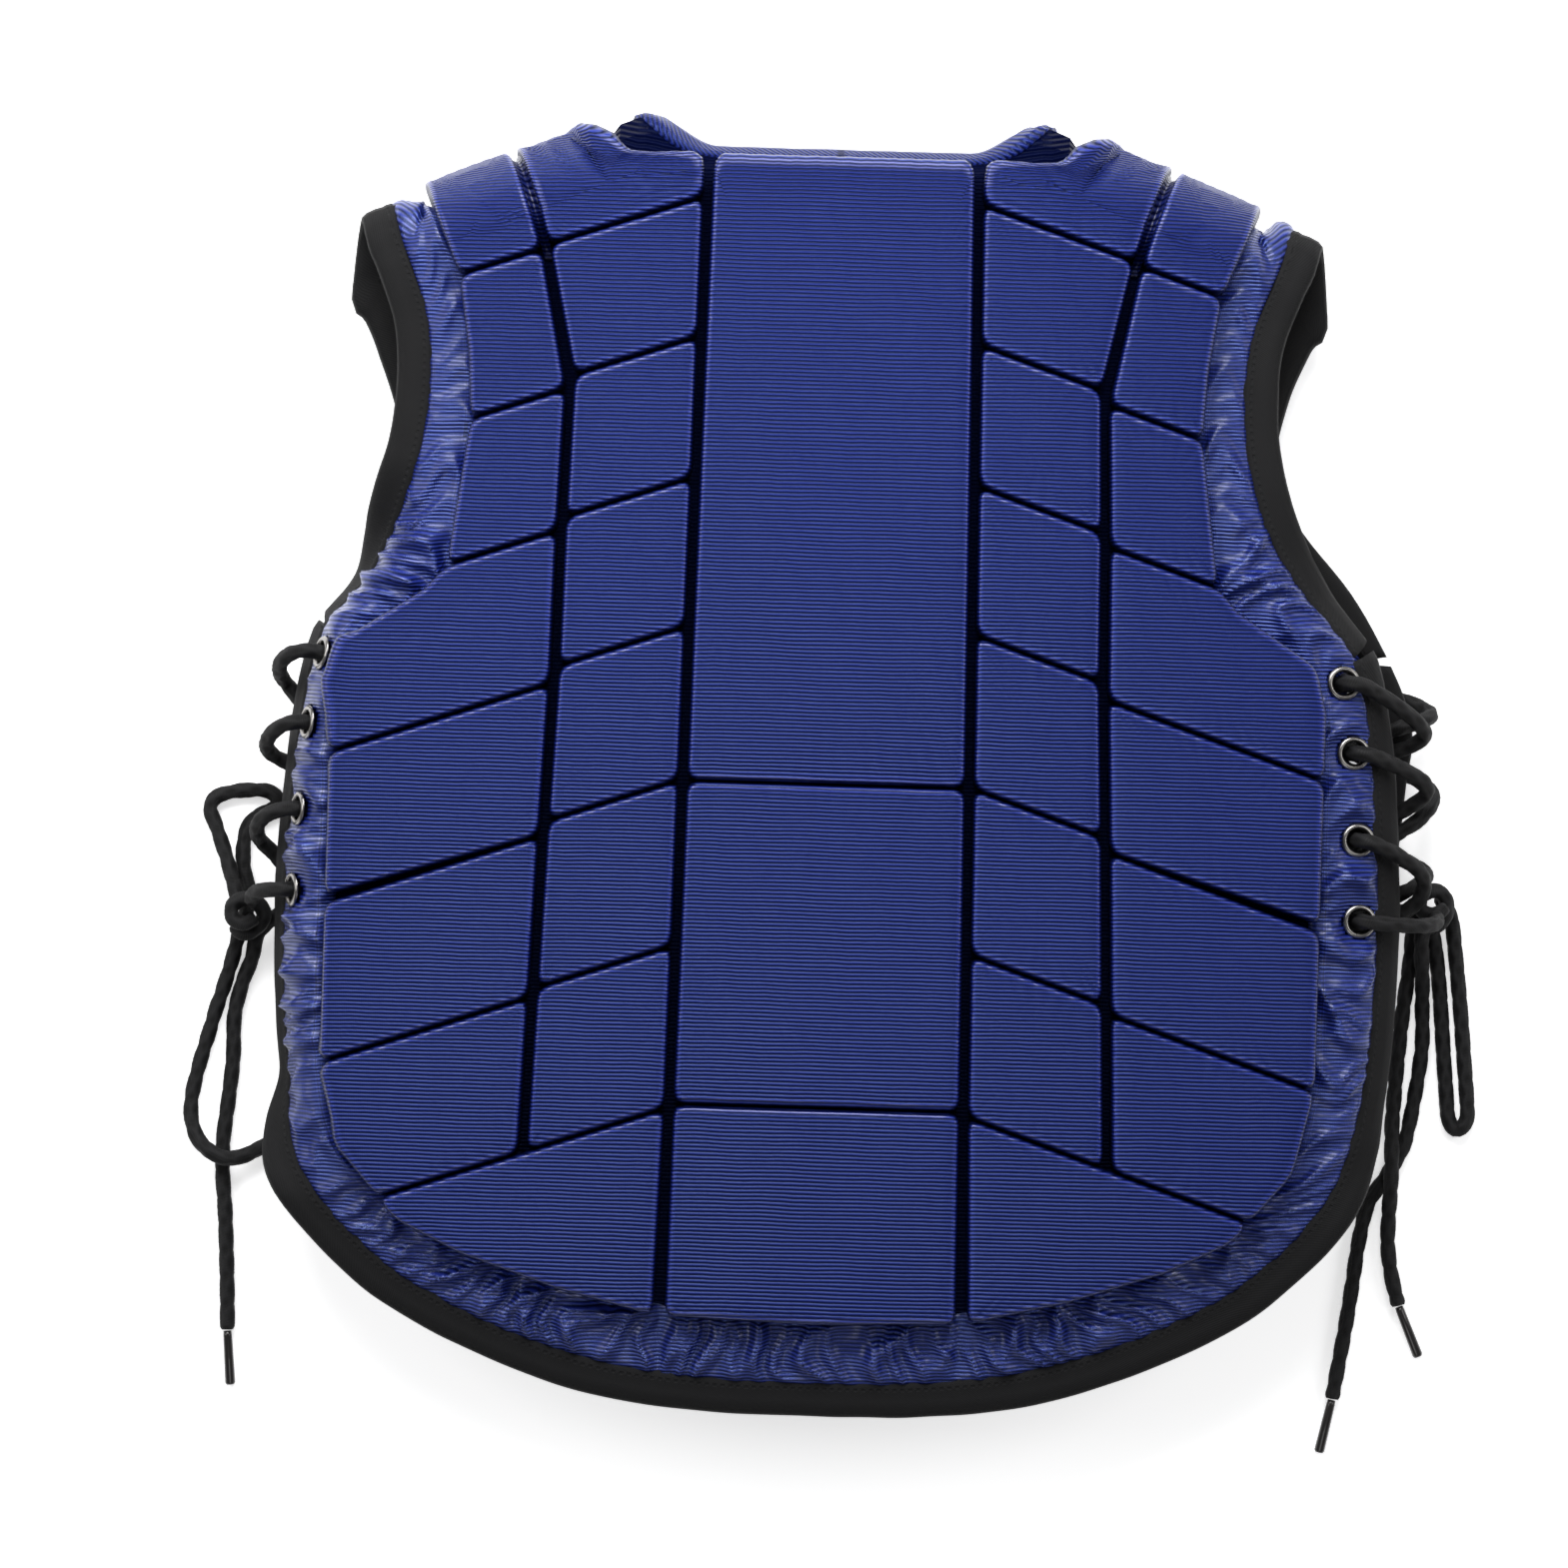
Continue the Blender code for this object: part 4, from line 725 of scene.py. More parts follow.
# Edges of the cloth inside the bindings, from the spine outwards
# Columns: across as a share of HALF_WIDTH, along as a share of HALF_LENGTH
BACK_NECK_EDGE = [(0.000, 0.934), (0.202, 0.934), (0.296, 0.944), (0.352, 0.968), (0.381, 1.003)]
BACK_ARMHOLE_EDGE = [
    (0.783, 0.823), (0.751, 0.765), (0.717, 0.682), (0.705, 0.605), (0.709, 0.510),
    (0.731, 0.421), (0.765, 0.348), (0.820, 0.276), (0.870, 0.225), (0.906, 0.186),
]
BACK_SIDE_EDGE = [
    (0.906, 0.186), (0.920, 0.150), (0.940, 0.050), (0.952, -0.080), (0.960, -0.200),
    (0.956, -0.360), (0.944, -0.478), (0.926, -0.560), (0.879, -0.657), (0.780, -0.752),
    (0.689, -0.812), (0.522, -0.882), (0.364, -0.926), (0.179, -0.946), (0.000, -0.949),
]
FRONT_NECK_EDGE = [
    (0.387, 0.860), (0.372, 0.780), (0.325, 0.705), (0.235, 0.650), (0.110, 0.622), (0.000, 0.617),
]
FRONT_ARMHOLE_EDGE = [
    (0.772, 0.720), (0.730, 0.630), (0.712, 0.530), (0.735, 0.430), (0.800, 0.345),
    (0.880, 0.262), (0.930, 0.186),
]
FRONT_SIDE_EDGE = [
    (0.930, 0.186), (0.962, 0.115), (0.955, 0.040), (0.940, -0.100), (0.935, -0.240),
    (0.905, -0.470), (0.850, -0.620), (0.762, -0.737), (0.538, -0.850), (0.269, -0.902), (0.000, -0.914),
]
NECK_SEAM_ACROSS = 0.390
ARMHOLE_SEAM_ACROSS = 0.794

# Along of the four eyelets of a laced edge, top to bottom, as shares of HALF_LENGTH
EYELET_ROWS = [0.148, 0.041, -0.092, -0.216]

# %% [markdown]
# The form is one bent surface: an arched back, a half-round fold at the shoulder and a flat front.
# A place on the pattern is turned into a point of that surface, and then moved outwards by its rise.
# Working on a flat pattern keeps the outlines as simple as a tailor's paper pieces.

# %% Laying the pattern over the form
def ramp(value, start, end):
    """A smooth step from 0 at start to 1 at end."""
    share = min(1.0, max(0.0, (value - start) / (end - start)))
    return share * share * (3.0 - 2.0 * share)


def crest(across):
    """Where the back panel starts to turn over, along the pattern."""
    return NECK_CREST - SHOULDER_SLOPE * max(0.0, abs(across) - NECK_HALF_WIDTH)


def side_of(across):
    return SIDES[1 if across >= 0 else -1]


def back_height(across, along):
    """Height of the back cloth above the floor, before its edge curls."""
    share = min(1.0, (crest(across) - along) / BACK_ARCH_LENGTH)
    arch = share * (2.0 - share)
    sag = side_of(across)["sag"] * (across / HALF_WIDTH) ** 2
    below = max(0.0, HEM_DROP_START - along) / (HALF_LENGTH + HEM_DROP_START)
    return CREST_LEVEL + (BACK_ARCH - sag) * arch - HEM_DROP * below ** 2


def edge_reach(rows, along):
    """How far from the spine a side edge of the cloth lies, from its table."""
    share = along / HALF_LENGTH
    for (outer, upper), (inner, lower) in zip(rows, rows[1:]):
        if upper >= share >= lower:
            part = (upper - share) / (upper - lower)
            return (outer + (inner - outer) * part) * HALF_WIDTH
    return HALF_WIDTH


def curl(across, along):
    """Sideways position and drop of a point of the back near a laced edge."""
    side = side_of(across)
    edge = edge_reach(BACK_ARMHOLE_EDGE[4:] + BACK_SIDE_EDGE[1:], along) + BINDING_WIDTH
    start = edge - side["band"]
    past = abs(across) - start
    strength = ramp(along, CURL_BOTTOM, CURL_BOTTOM + CURL_FADE)
    strength *= 1.0 - ramp(along, CURL_TOP, CURL_TOP + CURL_FADE)
    angle = side["curl"] * strength
    if past <= 0.0 or angle < LEAST_CURL:
        return across, 0.0
    radius = side["turn"] / angle
    turned = min(past, side["turn"]) / radius
    straight = max(0.0, past - side["turn"])
    reach = start + radius * math.sin(turned) + straight * math.cos(turned)
    drop = radius * (1.0 - math.cos(turned)) + straight * math.sin(turned)
    return math.copysign(reach, across), drop


def drawn_in(across, along):
    """Sideways position of a point of the front, where the lacing draws its edge in."""
    weight = ramp(abs(across), DRAW_START * HALF_WIDTH, HALF_WIDTH)
    weight *= ramp(along, CURL_BOTTOM, DRAW_BOTTOM) * (1.0 - ramp(along, DRAW_TOP, DRAW_END))
    return math.copysign(abs(across) - side_of(across)["draw"] * weight, across)


def crown(across, angle):
    """Extra radius of the shoulder fold beside the foam, which the cloth bridges."""
    start, full, fading, end, outer, outer_full = (share * HALF_WIDTH for share in CROWN_SHARES)
    beside_neck = ramp(abs(across), start, full) * (1.0 - ramp(abs(across), fading, end))
    beside_arm = ramp(abs(across), outer, outer_full)
    return CROWN_RISE * (beside_neck + beside_arm) * math.sin(angle) ** 4


def skin(across, along):
    """Point of the outer face of the cloth for a point of the pattern."""
    past = along - crest(across)
    if past <= 0.0:
        sideways, drop = curl(across, along)
        return Vector((sideways, along, back_height(across, along) - drop))
    if past < FOLD_LENGTH:
        angle = past / FOLD_RADIUS
        radius = FOLD_RADIUS + crown(across, angle)
        lift = FRONT_LEVEL + FOLD_RADIUS + radius * math.cos(angle)
        return Vector((across, crest(across) + radius * math.sin(angle), lift))
    down = crest(across) - (past - FOLD_LENGTH)
    return Vector((drawn_in(across, down), down, FRONT_LEVEL))


def lay(across, along, rise):
    """World point of a pattern point, rise metres outside the cloth's outer face."""
    over = skin(across + LAY_STEP, along) - skin(across - LAY_STEP, along)
    up = skin(across, along + LAY_STEP) - skin(across, along - LAY_STEP)
    return skin(across, along) + rise * over.cross(up).normalized() - BOX_MIDDLE


def under(across, along):
    """Pattern position of a front panel point whose place seen from above is known."""
    return 2.0 * crest(across) + FOLD_LENGTH - along


def scaled(rows):
    return [(across * HALF_WIDTH, along * HALF_LENGTH) for across, along in rows]


def front_scaled(rows):
    return [(across, under(across, along)) for across, along in scaled(rows)]


def mirrored(points):
    return [(-across, along) for across, along in points]


def eyelet_centres(side):
    """Pattern points of the eyelets of one laced edge, top to bottom."""
    centres = []
    for share in EYELET_ROWS:
        along = share * HALF_LENGTH
        reach = edge_reach(BACK_SIDE_EDGE, along) - EYELET_INSET
        centres.append((side * reach, along))
    return centres


def front_eyelet_centres(side):
    """Pattern points of the lace holes of the front panel."""
    centres = []
    for share in EYELET_ROWS:
        along = share * HALF_LENGTH
        reach = edge_reach(FRONT_SIDE_EDGE, along) - EYELET_INSET
        centres.append((side * reach, under(side * reach, along)))
    return centres

# %% [markdown]
# ## Foam blocks
# The cover is sewn down between the blocks. The outlines of the blocks come from cutting the whole
# foam area along the grooves and creases, so neighbours always match along a seam.

# %% Block outlines
# Foam blocks under the cloth, right half: the outline of the whole foam area
FOAM_EDGE = [
    (0.000, 0.912), (0.245, 0.912), (0.380, 0.925), (0.440, 0.960), (0.709, 0.868),
    (0.690, 0.800), (0.652, 0.718), (0.636, 0.613), (0.629, 0.507), (0.662, 0.287),
    (0.697, 0.250), (0.836, 0.169), (0.855, 0.100), (0.855, -0.223), (0.855, -0.478),
    (0.821, -0.605), (0.744, -0.685), (0.719, -0.712), (0.605, -0.761), (0.439, -0.810),
    (0.270, -0.846), (0.000, -0.854),
]
# The two grooves between the block columns
CENTRE_GROOVE = [(0.229, 1.200), (0.258, -0.900)]
OUTER_GROOVE = [
    (0.640, 1.150), (0.568, 0.930), (0.503, 0.760), (0.458, 0.574), (0.467, 0.350), (0.471, 0.130),
    (0.482, -0.100), (0.492, -0.353), (0.502, -0.600), (0.510, -0.900),
]
# The creases across the side columns
# Columns: along at the centre groove, step down at the outer groove, both shares of HALF_LENGTH
SIDE_CREASES = [
    (0.852, 0.004), (0.639, 0.018), (0.425, 0.018), (0.200, 0.024),
    (-0.033, 0.020), (-0.285, 0.012), (-0.531, 0.0),
]
CENTRE_CREASES = [-0.031, -0.524]
SHORTEST_SIDE = 0.0045
CORNER_SHARE = 0.42
LEAST_CORNER = 0.30
CROSSING_STEPS = 6


def cross_at(start, end, inside_start, inside_end):
    part = inside_start / (inside_start - inside_end)
    return tuple(a + (b - a) * part for a, b in zip(start, end))


def clip(polygon, start, end, margin):
    """Part of a polygon that lies left of the line from start to end, margin inside it."""
    length = math.dist(start, end)

    def inside(point):
        turn = (end[0] - start[0]) * (point[1] - start[1]) - (end[1] - start[1]) * (point[0] - start[0])
        return turn / length - margin

    kept = []
    for index, point in enumerate(polygon):
        before = polygon[index - 1]
        here, there = inside(point), inside(before)
        if (here >= 0.0) != (there >= 0.0):
            kept.append(cross_at(before, point, there, here))
        if here >= 0.0:
            kept.append(point)
    return kept


def tidied(polygon, shortest):
    """Polygon without points that lie closer together than shortest."""
    kept = []
    for point in polygon:
        if not kept or math.dist(kept[-1], point) > shortest:
            kept.append(point)
    if math.dist(kept[0], kept[-1]) <= shortest:
        kept.pop()
    return kept


def rounded(polygon, radius):
    """Polygon with each corner cut by a three-point arc where its edges leave room."""
    points = []
    for index, corner in enumerate(polygon):
        before = polygon[index - 1]
        after = polygon[(index + 1) % len(polygon)]
        reach_in = min(radius, CORNER_SHARE * math.dist(corner, before))
        reach_out = min(radius, CORNER_SHARE * math.dist(corner, after))
        start = Vector(corner).lerp(Vector(before), reach_in / math.dist(corner, before))
        end = Vector(corner).lerp(Vector(after), reach_out / math.dist(corner, after))
        heading = (Vector(corner) - Vector(before)).angle(Vector(after) - Vector(corner), 0.0)
        if heading < LEAST_CORNER:
            points.append(tuple(corner))
            continue
        middle = 0.25 * start + 0.5 * Vector(corner) + 0.25 * end
        points += [tuple(start), tuple(middle), tuple(end)]
    return points


def line_across(start, slope):
    """Two points of a crease line that falls outwards from start."""
    return start, (start[0] + 1.0, start[1] - slope)


def groove_across(along):
    """Where the outer groove lies at a place along the back."""
    rows = scaled(OUTER_GROOVE)
    for (upper_across, upper), (lower_across, lower) in zip(rows, rows[1:]):
        if upper >= along >= lower:
            return upper_across + (lower_across - upper_across) * (upper - along) / (upper - lower)
    return rows[0][0]


def crease_lines(column):
    """Crease lines of the inner (0) or outer (1) side column, top to bottom."""
    lines = []
    centre = CENTRE_GROOVE[1][0] * HALF_WIDTH
    for share, step in SIDE_CREASES:
        start = (centre, (share - step * column) * HALF_LENGTH)
        lines.append(line_across(start, CREASE_SLOPE))
    return lines


def along_on_groove(line):
    """Where a crease line meets the outer groove."""
    along = line[0][1]
    for _ in range(CROSSING_STEPS):
        along = line[0][1] - CREASE_SLOPE * (groove_across(along) - line[0][0])
    return along


def groove_line(lines, row):
    """The outer groove as one straight edge beside a block row."""
    upper = lines[row - 1] if row > 0 else None
    lower = lines[row] if row < len(lines) else None
    rows = scaled(OUTER_GROOVE)
    top = along_on_groove(upper) if upper else rows[0][1]
    bottom = along_on_groove(lower) if lower else rows[-1][1]
    return (groove_across(top), top), (groove_across(bottom), bottom)


def side_block(column, row):
    """Outline of one block of the right half."""
    lines = crease_lines(column)
    polygon = scaled(FOAM_EDGE)
    inner, outer = scaled(CENTRE_GROOVE), None
    last = row == len(SIDE_CREASES)
    if row > 0:
        above = lines[row - 1]
        polygon = clip(polygon, above[1], above[0], CREASE_WIDTH / 2)
    if not last:
        below = lines[row]
        polygon = clip(polygon, below[0], below[1], CREASE_WIDTH / 2)
    if column == 1 or not last:
        reach = groove_line(lines, row)
        if column == 0:
            outer = reach
        else:
            inner = reach
    polygon = clip(polygon, inner[0], inner[1], GROOVE_WIDTH / 2)
    if outer:
        polygon = clip(polygon, outer[1], outer[0], GROOVE_WIDTH / 2)
    return rounded(tidied(polygon, SHORTEST_SIDE), BLOCK_CORNER)


def centre_outlines():
    """Outlines of the three blocks over the spine, top to bottom."""
    right = scaled(FOAM_EDGE)
    foam = right + mirrored(right)[-2:0:-1]
    upper, lower = scaled(CENTRE_GROOVE)
    foam = clip(foam, lower, upper, GROOVE_WIDTH / 2)
    foam = clip(foam, *mirrored([upper, lower]), GROOVE_WIDTH / 2)
    creases = [2.0] + CENTRE_CREASES + [-2.0]
    outlines = []
    for above, below in zip(creases, creases[1:]):
        top, bottom = above * HALF_LENGTH, below * HALF_LENGTH
        polygon = clip(foam, (1.0, top), (0.0, top), CREASE_WIDTH / 2)
        polygon = clip(polygon, (0.0, bottom), (1.0, bottom), CREASE_WIDTH / 2)
        outlines.append(rounded(tidied(polygon, SHORTEST_SIDE), BLOCK_CORNER))
    return outlines


def block_outlines():
    """Every block's node name and its outline on the pattern."""
    found = [(f"centre_block_{row + 1}", outline) for row, outline in enumerate(centre_outlines())]
    for column, place in ((0, "inner"), (1, "outer")):
        for row in range(len(SIDE_CREASES) + 1 - column):
            outline = side_block(column, row)
            found.append((f"{place}_block_right_{row + 1}", outline))
            found.append((f"{place}_block_left_{row + 1}", mirrored(outline)))
    return found


def closed_evenly(outline, step):
    """Points a step apart round a closed outline."""
    line = [Vector((*point, 0.0)) for point in outline + outline[:1]]
    return [(point.x, point.y) for point in evenly(line, step)[:-1]]


# %% [markdown]
# Each block stands up as a flat pillow with rounded edges. It is drawn as rings that run inwards
# from its outline: the first rings climb its side, and the others cross its top. The cloth is a
# little uneven, and it gathers at the seam.

# %% Block pillows
OUTLINE_STEP = 0.0021
# Columns: inset from the outline in metres, rise as a share of the foam's thickness
BLOCK_RINGS = [
    (0.0, 0.00), (0.0, 0.45), (0.0, 0.76), (0.0003, 0.885), (0.0007, 0.955), (0.0012, 0.988),
    (0.0019, 1.000),
]
LOWER_EDGE_SPREAD = 0.3
RING_SMOOTHING = 2
TOP_STEP = 0.0040
UNEVEN = 0.00055
GATHER = 0.00028
GATHER_PITCH = 0.0065
GATHER_FADE = 0.006
BASE_RINGS = 8
# Waves to the metre in the uneven cloth
BROAD_WAVES = 28.0
FINE_WAVES = 90.0
WANDER_WAVES = 60.0
# Share of the foam's thickness above which the stored depth counts, and its gain
DEPTH_START = 0.6
DEPTH_GAIN = 0.006


def noise_at(place, waves, layer):
    """Smooth noise at a place of the pattern."""
    return noise.noise(Vector((place[0] * waves, place[1] * waves, layer)))


def centre_of(outline):
    count = len(outline)
    return sum(point[0] for point in outline) / count, sum(point[1] for point in outline) / count


def inwards(outline, distance):
    """The outline moved inwards by a small distance, further at edges that face the hem."""
    moved = []
    count = len(outline)
    for index, point in enumerate(outline):
        before, after = outline[index - 2], outline[(index + 2) % count]
        heading = (Vector(after) - Vector(before)).normalized()
        reach = distance * (1.0 + LOWER_EDGE_SPREAD * max(0.0, heading.x))
        moved.append((point[0] - heading.y * reach, point[1] + heading.x * reach))
    return moved


def smoothed(ring, times):
    """The ring with each point drawn towards the middle of its neighbours."""
    for _ in range(times):
        after = ring[1:] + ring[:1]
        ring = [
            tuple(0.5 * m + 0.25 * (b + a) for b, m, a in zip(ring[index - 1], ring[index], after[index]))
            for index in range(len(ring))
        ]
    return ring


def block_rings(outline):
    """Rings of pattern points with their rise and their distance from the seam."""
    rings = [(inwards(outline, inset), share, inset) for inset, share in BLOCK_RINGS]
    last = rings[-1][0]
    centre = centre_of(last)
    reach = min(math.dist(point, centre) for point in last)
    count = max(3, round(reach / TOP_STEP))
    for number in range(1, count):
        keep = 1.0 - number / count
        ring = [tuple(c + (p - c) * keep for p, c in zip(point, centre)) for point in last]
        ring = smoothed(ring, RING_SMOOTHING * number)
        rings.append((ring, 1.0, BLOCK_RINGS[-1][0] + reach * (1.0 - keep)))
    return rings, centre, reach


def weft(across, along, rise):
    """Place of a rib along the cloth: over the fold the cloth's own length counts, at its rise."""
    past = max(0.0, along - crest(across))
    return along + past * rise / FOLD_RADIUS


def block_rise(place, share, inset, run):
    """Rise of the cloth at a place of a block."""
    if share <= 0.0:
        return SEAT_GAP
    broad = noise_at(place, BROAD_WAVES, 3.1)
    fine = noise_at(place, FINE_WAVES, 7.7)
    rise = SEAT_GAP + FOAM_THICKNESS * share + UNEVEN * (0.7 * broad + 0.3 * fine) * share
    near = math.exp(-inset / GATHER_FADE) * share
    wander = noise_at(place, WANDER_WAVES, 1.0)
    return rise + GATHER * near * math.sin(math.tau * run / GATHER_PITCH + 4.0 * wander)


def make_block(name, outline):
    """A pillow over one foam block."""
    if signed_area(outline) < 0.0:
        outline = outline[::-1]
    outline = closed_evenly(outline, OUTLINE_STEP)
    rings, centre, reach = block_rings(outline)
    count = len(outline)
    points, places = [], []
    for ring, share, inset in rings:
        for index, place in enumerate(ring):
            rise = block_rise(place, share, inset, index * OUTLINE_STEP)
            points.append(lay(*place, rise))
            # The satin reads this depth for painted shade down the block's side and a painted highlight
            # along its top edge
            depth = inset + DEPTH_GAIN * max(0.0, share - DEPTH_START)
            places.append((place[0], weft(*place, FOAM_THICKNESS * share), depth))
    top = len(points)
    points.append(lay(*centre, block_rise(centre, 1.0, reach, 0.0)))
    places.append((centre[0], weft(*centre, FOAM_THICKNESS), reach))
    faces = ring_faces(len(rings), count)
    first = (len(rings) - 1) * count
    faces += [(first + step, first + (step + 1) % count, top) for step in range(count)]
    start = len(points)
    for number in range(1, BASE_RINGS):
        keep = 1.0 - number / BASE_RINGS
        for place in outline:
            flat = tuple(c + (p - c) * keep for p, c in zip(place, centre))
            points.append(lay(*flat, SEAT_GAP))
            places.append((*flat, 0.0))
    faces += [
        (step, start + step, start + (step + 1) % count, (step + 1) % count) for step in range(count)
    ]
    faces += [face[::-1] for face in ring_faces(BASE_RINGS - 1, count, start)]
    bottom = len(points)
    points.append(lay(*centre, SEAT_GAP))
    places.append((*centre, 0.0))
    first = start + (BASE_RINGS - 2) * count
    faces += [(first + (step + 1) % count, first + step, bottom) for step in range(count)]
    block = mesh_object(name, points, faces, places)
    turn_outwards(block)
    return block


def signed_area(outline):
    return 0.5 * sum(
        a[0] * b[1] - b[0] * a[1] for a, b in zip(outline, outline[1:] + outline[:1])
    )


for node, outline in block_outlines():
    block = make_block(f"pillow_{node}", outline)
    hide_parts(node)
    finish_piece(block, satin)
print("blocks made")

# %% [markdown]
# ## Gathered edge
# Between the outer blocks and the tape the cover is not padded, and the sewing gathers it into
# short folds. A strip of cloth runs round the vest between two lines, one just under the blocks
# and one at the tape. Its height is a sum of ridged waves that cross it.

# %% Gathered strip
STRIP_STEP = 0.0016
STRIP_ROWS = 18
STRIP_BASE = 0.00035
STRIP_WALL = 0.0005
STRIP_TUCK = 0.0035
STRIP_PULL = 0.2
FOLD_SEED = 11.0
LONG_PITCH = 0.024
SHORT_PITCH = 0.0105
LONG_RISE = 0.0070
SHORT_RISE = 0.0050
CROWN_OF_STRIP = 0.0014
RIDGE_SHARPNESS = 1.4
WIDE_STRIP = 0.0255
SHOULDER_RISE = 0.0040
STITCH_PLACE = 0.0022
STITCH_HALF_WIDTH = 0.0007
# Depths that the strip's material reads, on the stitches and beside them: the small one paints shade
# along the stitched seam, the other paints none
STITCH_SHADE_DEPTH = 0.0018
PLAIN_DEPTH = 0.008
# How far from an eyelet's centre the folds are still flat, and where they have their full height
FLAT_BY_EYELET = 0.0070
FULL_BY_EYELET = 0.0115
# Where the shoulder fill starts and ends: past the crest, and as shares of HALF_WIDTH
FILL_START, FILL_FULL = -0.020, 0.010
FILL_INNER, FILL_OUTER = 0.700, 0.775
SEAM_WIDTH = 0.0030
# Where the two lines of the strip belong together, from the shoulder down to the hem
# Columns: across and along of the foam's edge, across and along of the cloth's edge, in shares
STRIP_PAIRS = [
    (0.709, 0.868, 0.783, 0.823), (0.690, 0.800, 0.751, 0.765), (0.652, 0.718, 0.717, 0.682),
    (0.636, 0.613, 0.705, 0.605), (0.629, 0.507, 0.709, 0.510), (0.645, 0.400, 0.731, 0.421),
    (0.662, 0.287, 0.765, 0.348), (0.710, 0.242, 0.820, 0.276), (0.836, 0.169, 0.906, 0.186),
    (0.855, 0.050, 0.940, 0.050), (0.855, -0.080, 0.952, -0.080), (0.855, -0.200, 0.960, -0.200),
    (0.855, -0.360, 0.956, -0.360), (0.855, -0.478, 0.944, -0.478), (0.821, -0.605, 0.906, -0.610),
    (0.744, -0.685, 0.840, -0.700), (0.700, -0.720, 0.780, -0.752), (0.605, -0.761, 0.689, -0.812),
    (0.439, -0.810, 0.522, -0.882), (0.270, -0.846, 0.320, -0.932), (0.130, -0.851, 0.150, -0.947),
    (0.000, -0.854, 0.000, -0.949),
]


def ridge(value):
    """A wave with sharp crests and wide valleys, from 0 to 1."""
    return (1.0 - abs(math.sin(math.pi * value))) ** RIDGE_SHARPNESS


def strip_rise(run, part, width):
    """Height of the gathered cloth at a run along the vest and a part of the way to the tape."""
    drift = noise.noise(Vector((run * 16.0, part * 1.1, FOLD_SEED)))
    swing = noise.noise(Vector((run * 45.0, part * 2.0, FOLD_SEED + 5.0)))
    long_folds = ridge(run / LONG_PITCH + 1.5 * drift + 0.35 * part)
    short_folds = ridge(run / SHORT_PITCH + 1.1 * drift + 0.8 * swing - 0.5 * part)
    window = math.sin(math.pi * min(1.0, max(0.0, part))) ** 0.7
    wide = min(1.0, width / WIDE_STRIP) ** 2.5
    by_block = math.exp(-part / 0.45)
    by_tape = math.exp(-(1.0 - part) / 0.35)
    height = CROWN_OF_STRIP * window * wide
    height += LONG_RISE * wide * window * long_folds * (0.45 + 0.8 * by_block)
    height += SHORT_RISE * wide * (0.12 + window) * short_folds * (0.45 + by_tape)
    return height


def strip_lines():
    """The two lines of the strip with matching points, from the left shoulder to the right one."""
    pairs = [
        (row[0] * HALF_WIDTH, row[1] * HALF_LENGTH, row[2] * HALF_WIDTH, row[3] * HALF_LENGTH)
        for row in STRIP_PAIRS
    ]
    pairs = [(-a, b, -c, d) for a, b, c, d in pairs] + pairs[-2::-1]
    ends = [pairs[0]] + pairs + [pairs[-1]]
    matched = []
    for before, start, end, after in zip(ends, ends[1:], ends[2:], ends[3:]):
        count = max(2, round(math.dist(start[2:], end[2:]) / STRIP_STEP))
        matched += [between(before, start, end, after, index / count) for index in range(count)]
    return matched + [pairs[-1]]


def eyelet_share(place):
    """1 at an eyelet of the back and 0 away from it, and how far away that is."""
    side = 1 if place[0] > 0 else -1
    nearest = min(math.dist(place, centre) for centre in eyelet_centres(side))
    return 1.0 - ramp(nearest, FLAT_BY_EYELET, FULL_BY_EYELET), nearest


def shoulder_fill(across, along):
    """Extra rise where the cloth bridges from the foam to the armhole over the shoulder fold."""
    past = along - crest(across)
    beside = 1.0 - ramp(abs(across), FILL_INNER * HALF_WIDTH, FILL_OUTER * HALF_WIDTH)
    return SHOULDER_RISE * ramp(past, FILL_START, FILL_FULL) * beside


def seam_dip(flat):
    """Less height where the two long grooves run on into the edge at the hem."""
    groove = CENTRE_GROOVE[1][0] * HALF_WIDTH
    near = math.exp(-((abs(flat.x) - groove) / SEAM_WIDTH) ** 2)
    return 1.0 - 0.9 * near * (1.0 if flat.y < -0.8 * HALF_LENGTH else 0.0)


def make_strip():
    """The gathered strip from the left shoulder round the hem to the right shoulder."""
    top, under_side, places, hole = [], [], [], []
    run = 0.0
    previous = None
    for inner_x, inner_y, outer_x, outer_y in strip_lines():
        inner, outer = Vector((inner_x, inner_y)), Vector((outer_x, outer_y))
        width = (outer - inner).length
        start = inner - (outer - inner) * (STRIP_TUCK / width)
        if previous is not None:
            run += (outer - previous).length
        previous = outer
        for row in range(STRIP_ROWS):
            part = row / (STRIP_ROWS - 1)
            flat = start.lerp(outer, part)
            metal, nearest = eyelet_share((flat.x, flat.y))
            fold = strip_rise(run, part, width) * (1.0 - metal) * seam_dip(flat)
            rise = STRIP_BASE + fold + shoulder_fill(flat.x, flat.y)
            top.append(lay(flat.x, flat.y, rise + STRIP_WALL))
            under_side.append(lay(flat.x, flat.y, rise))
            from_block = part * (width + STRIP_TUCK) - STRIP_TUCK
            sewn = abs(from_block - STITCH_PLACE) < STITCH_HALF_WIDTH
            # Painted shade along the stitched seam, through the satin's depth mask
            depth = STITCH_SHADE_DEPTH if sewn else PLAIN_DEPTH
            fill = weft(flat.x, flat.y, shoulder_fill(flat.x, flat.y))
            places.append((flat.x, fill + STRIP_PULL * (fold - 0.002), depth))
            hole.append(nearest < EYELET_BARREL + EYELET_GAP)
    columns = len(top) // STRIP_ROWS
    return closed_sheet("gathered_edge", top, under_side, places, hole, columns)


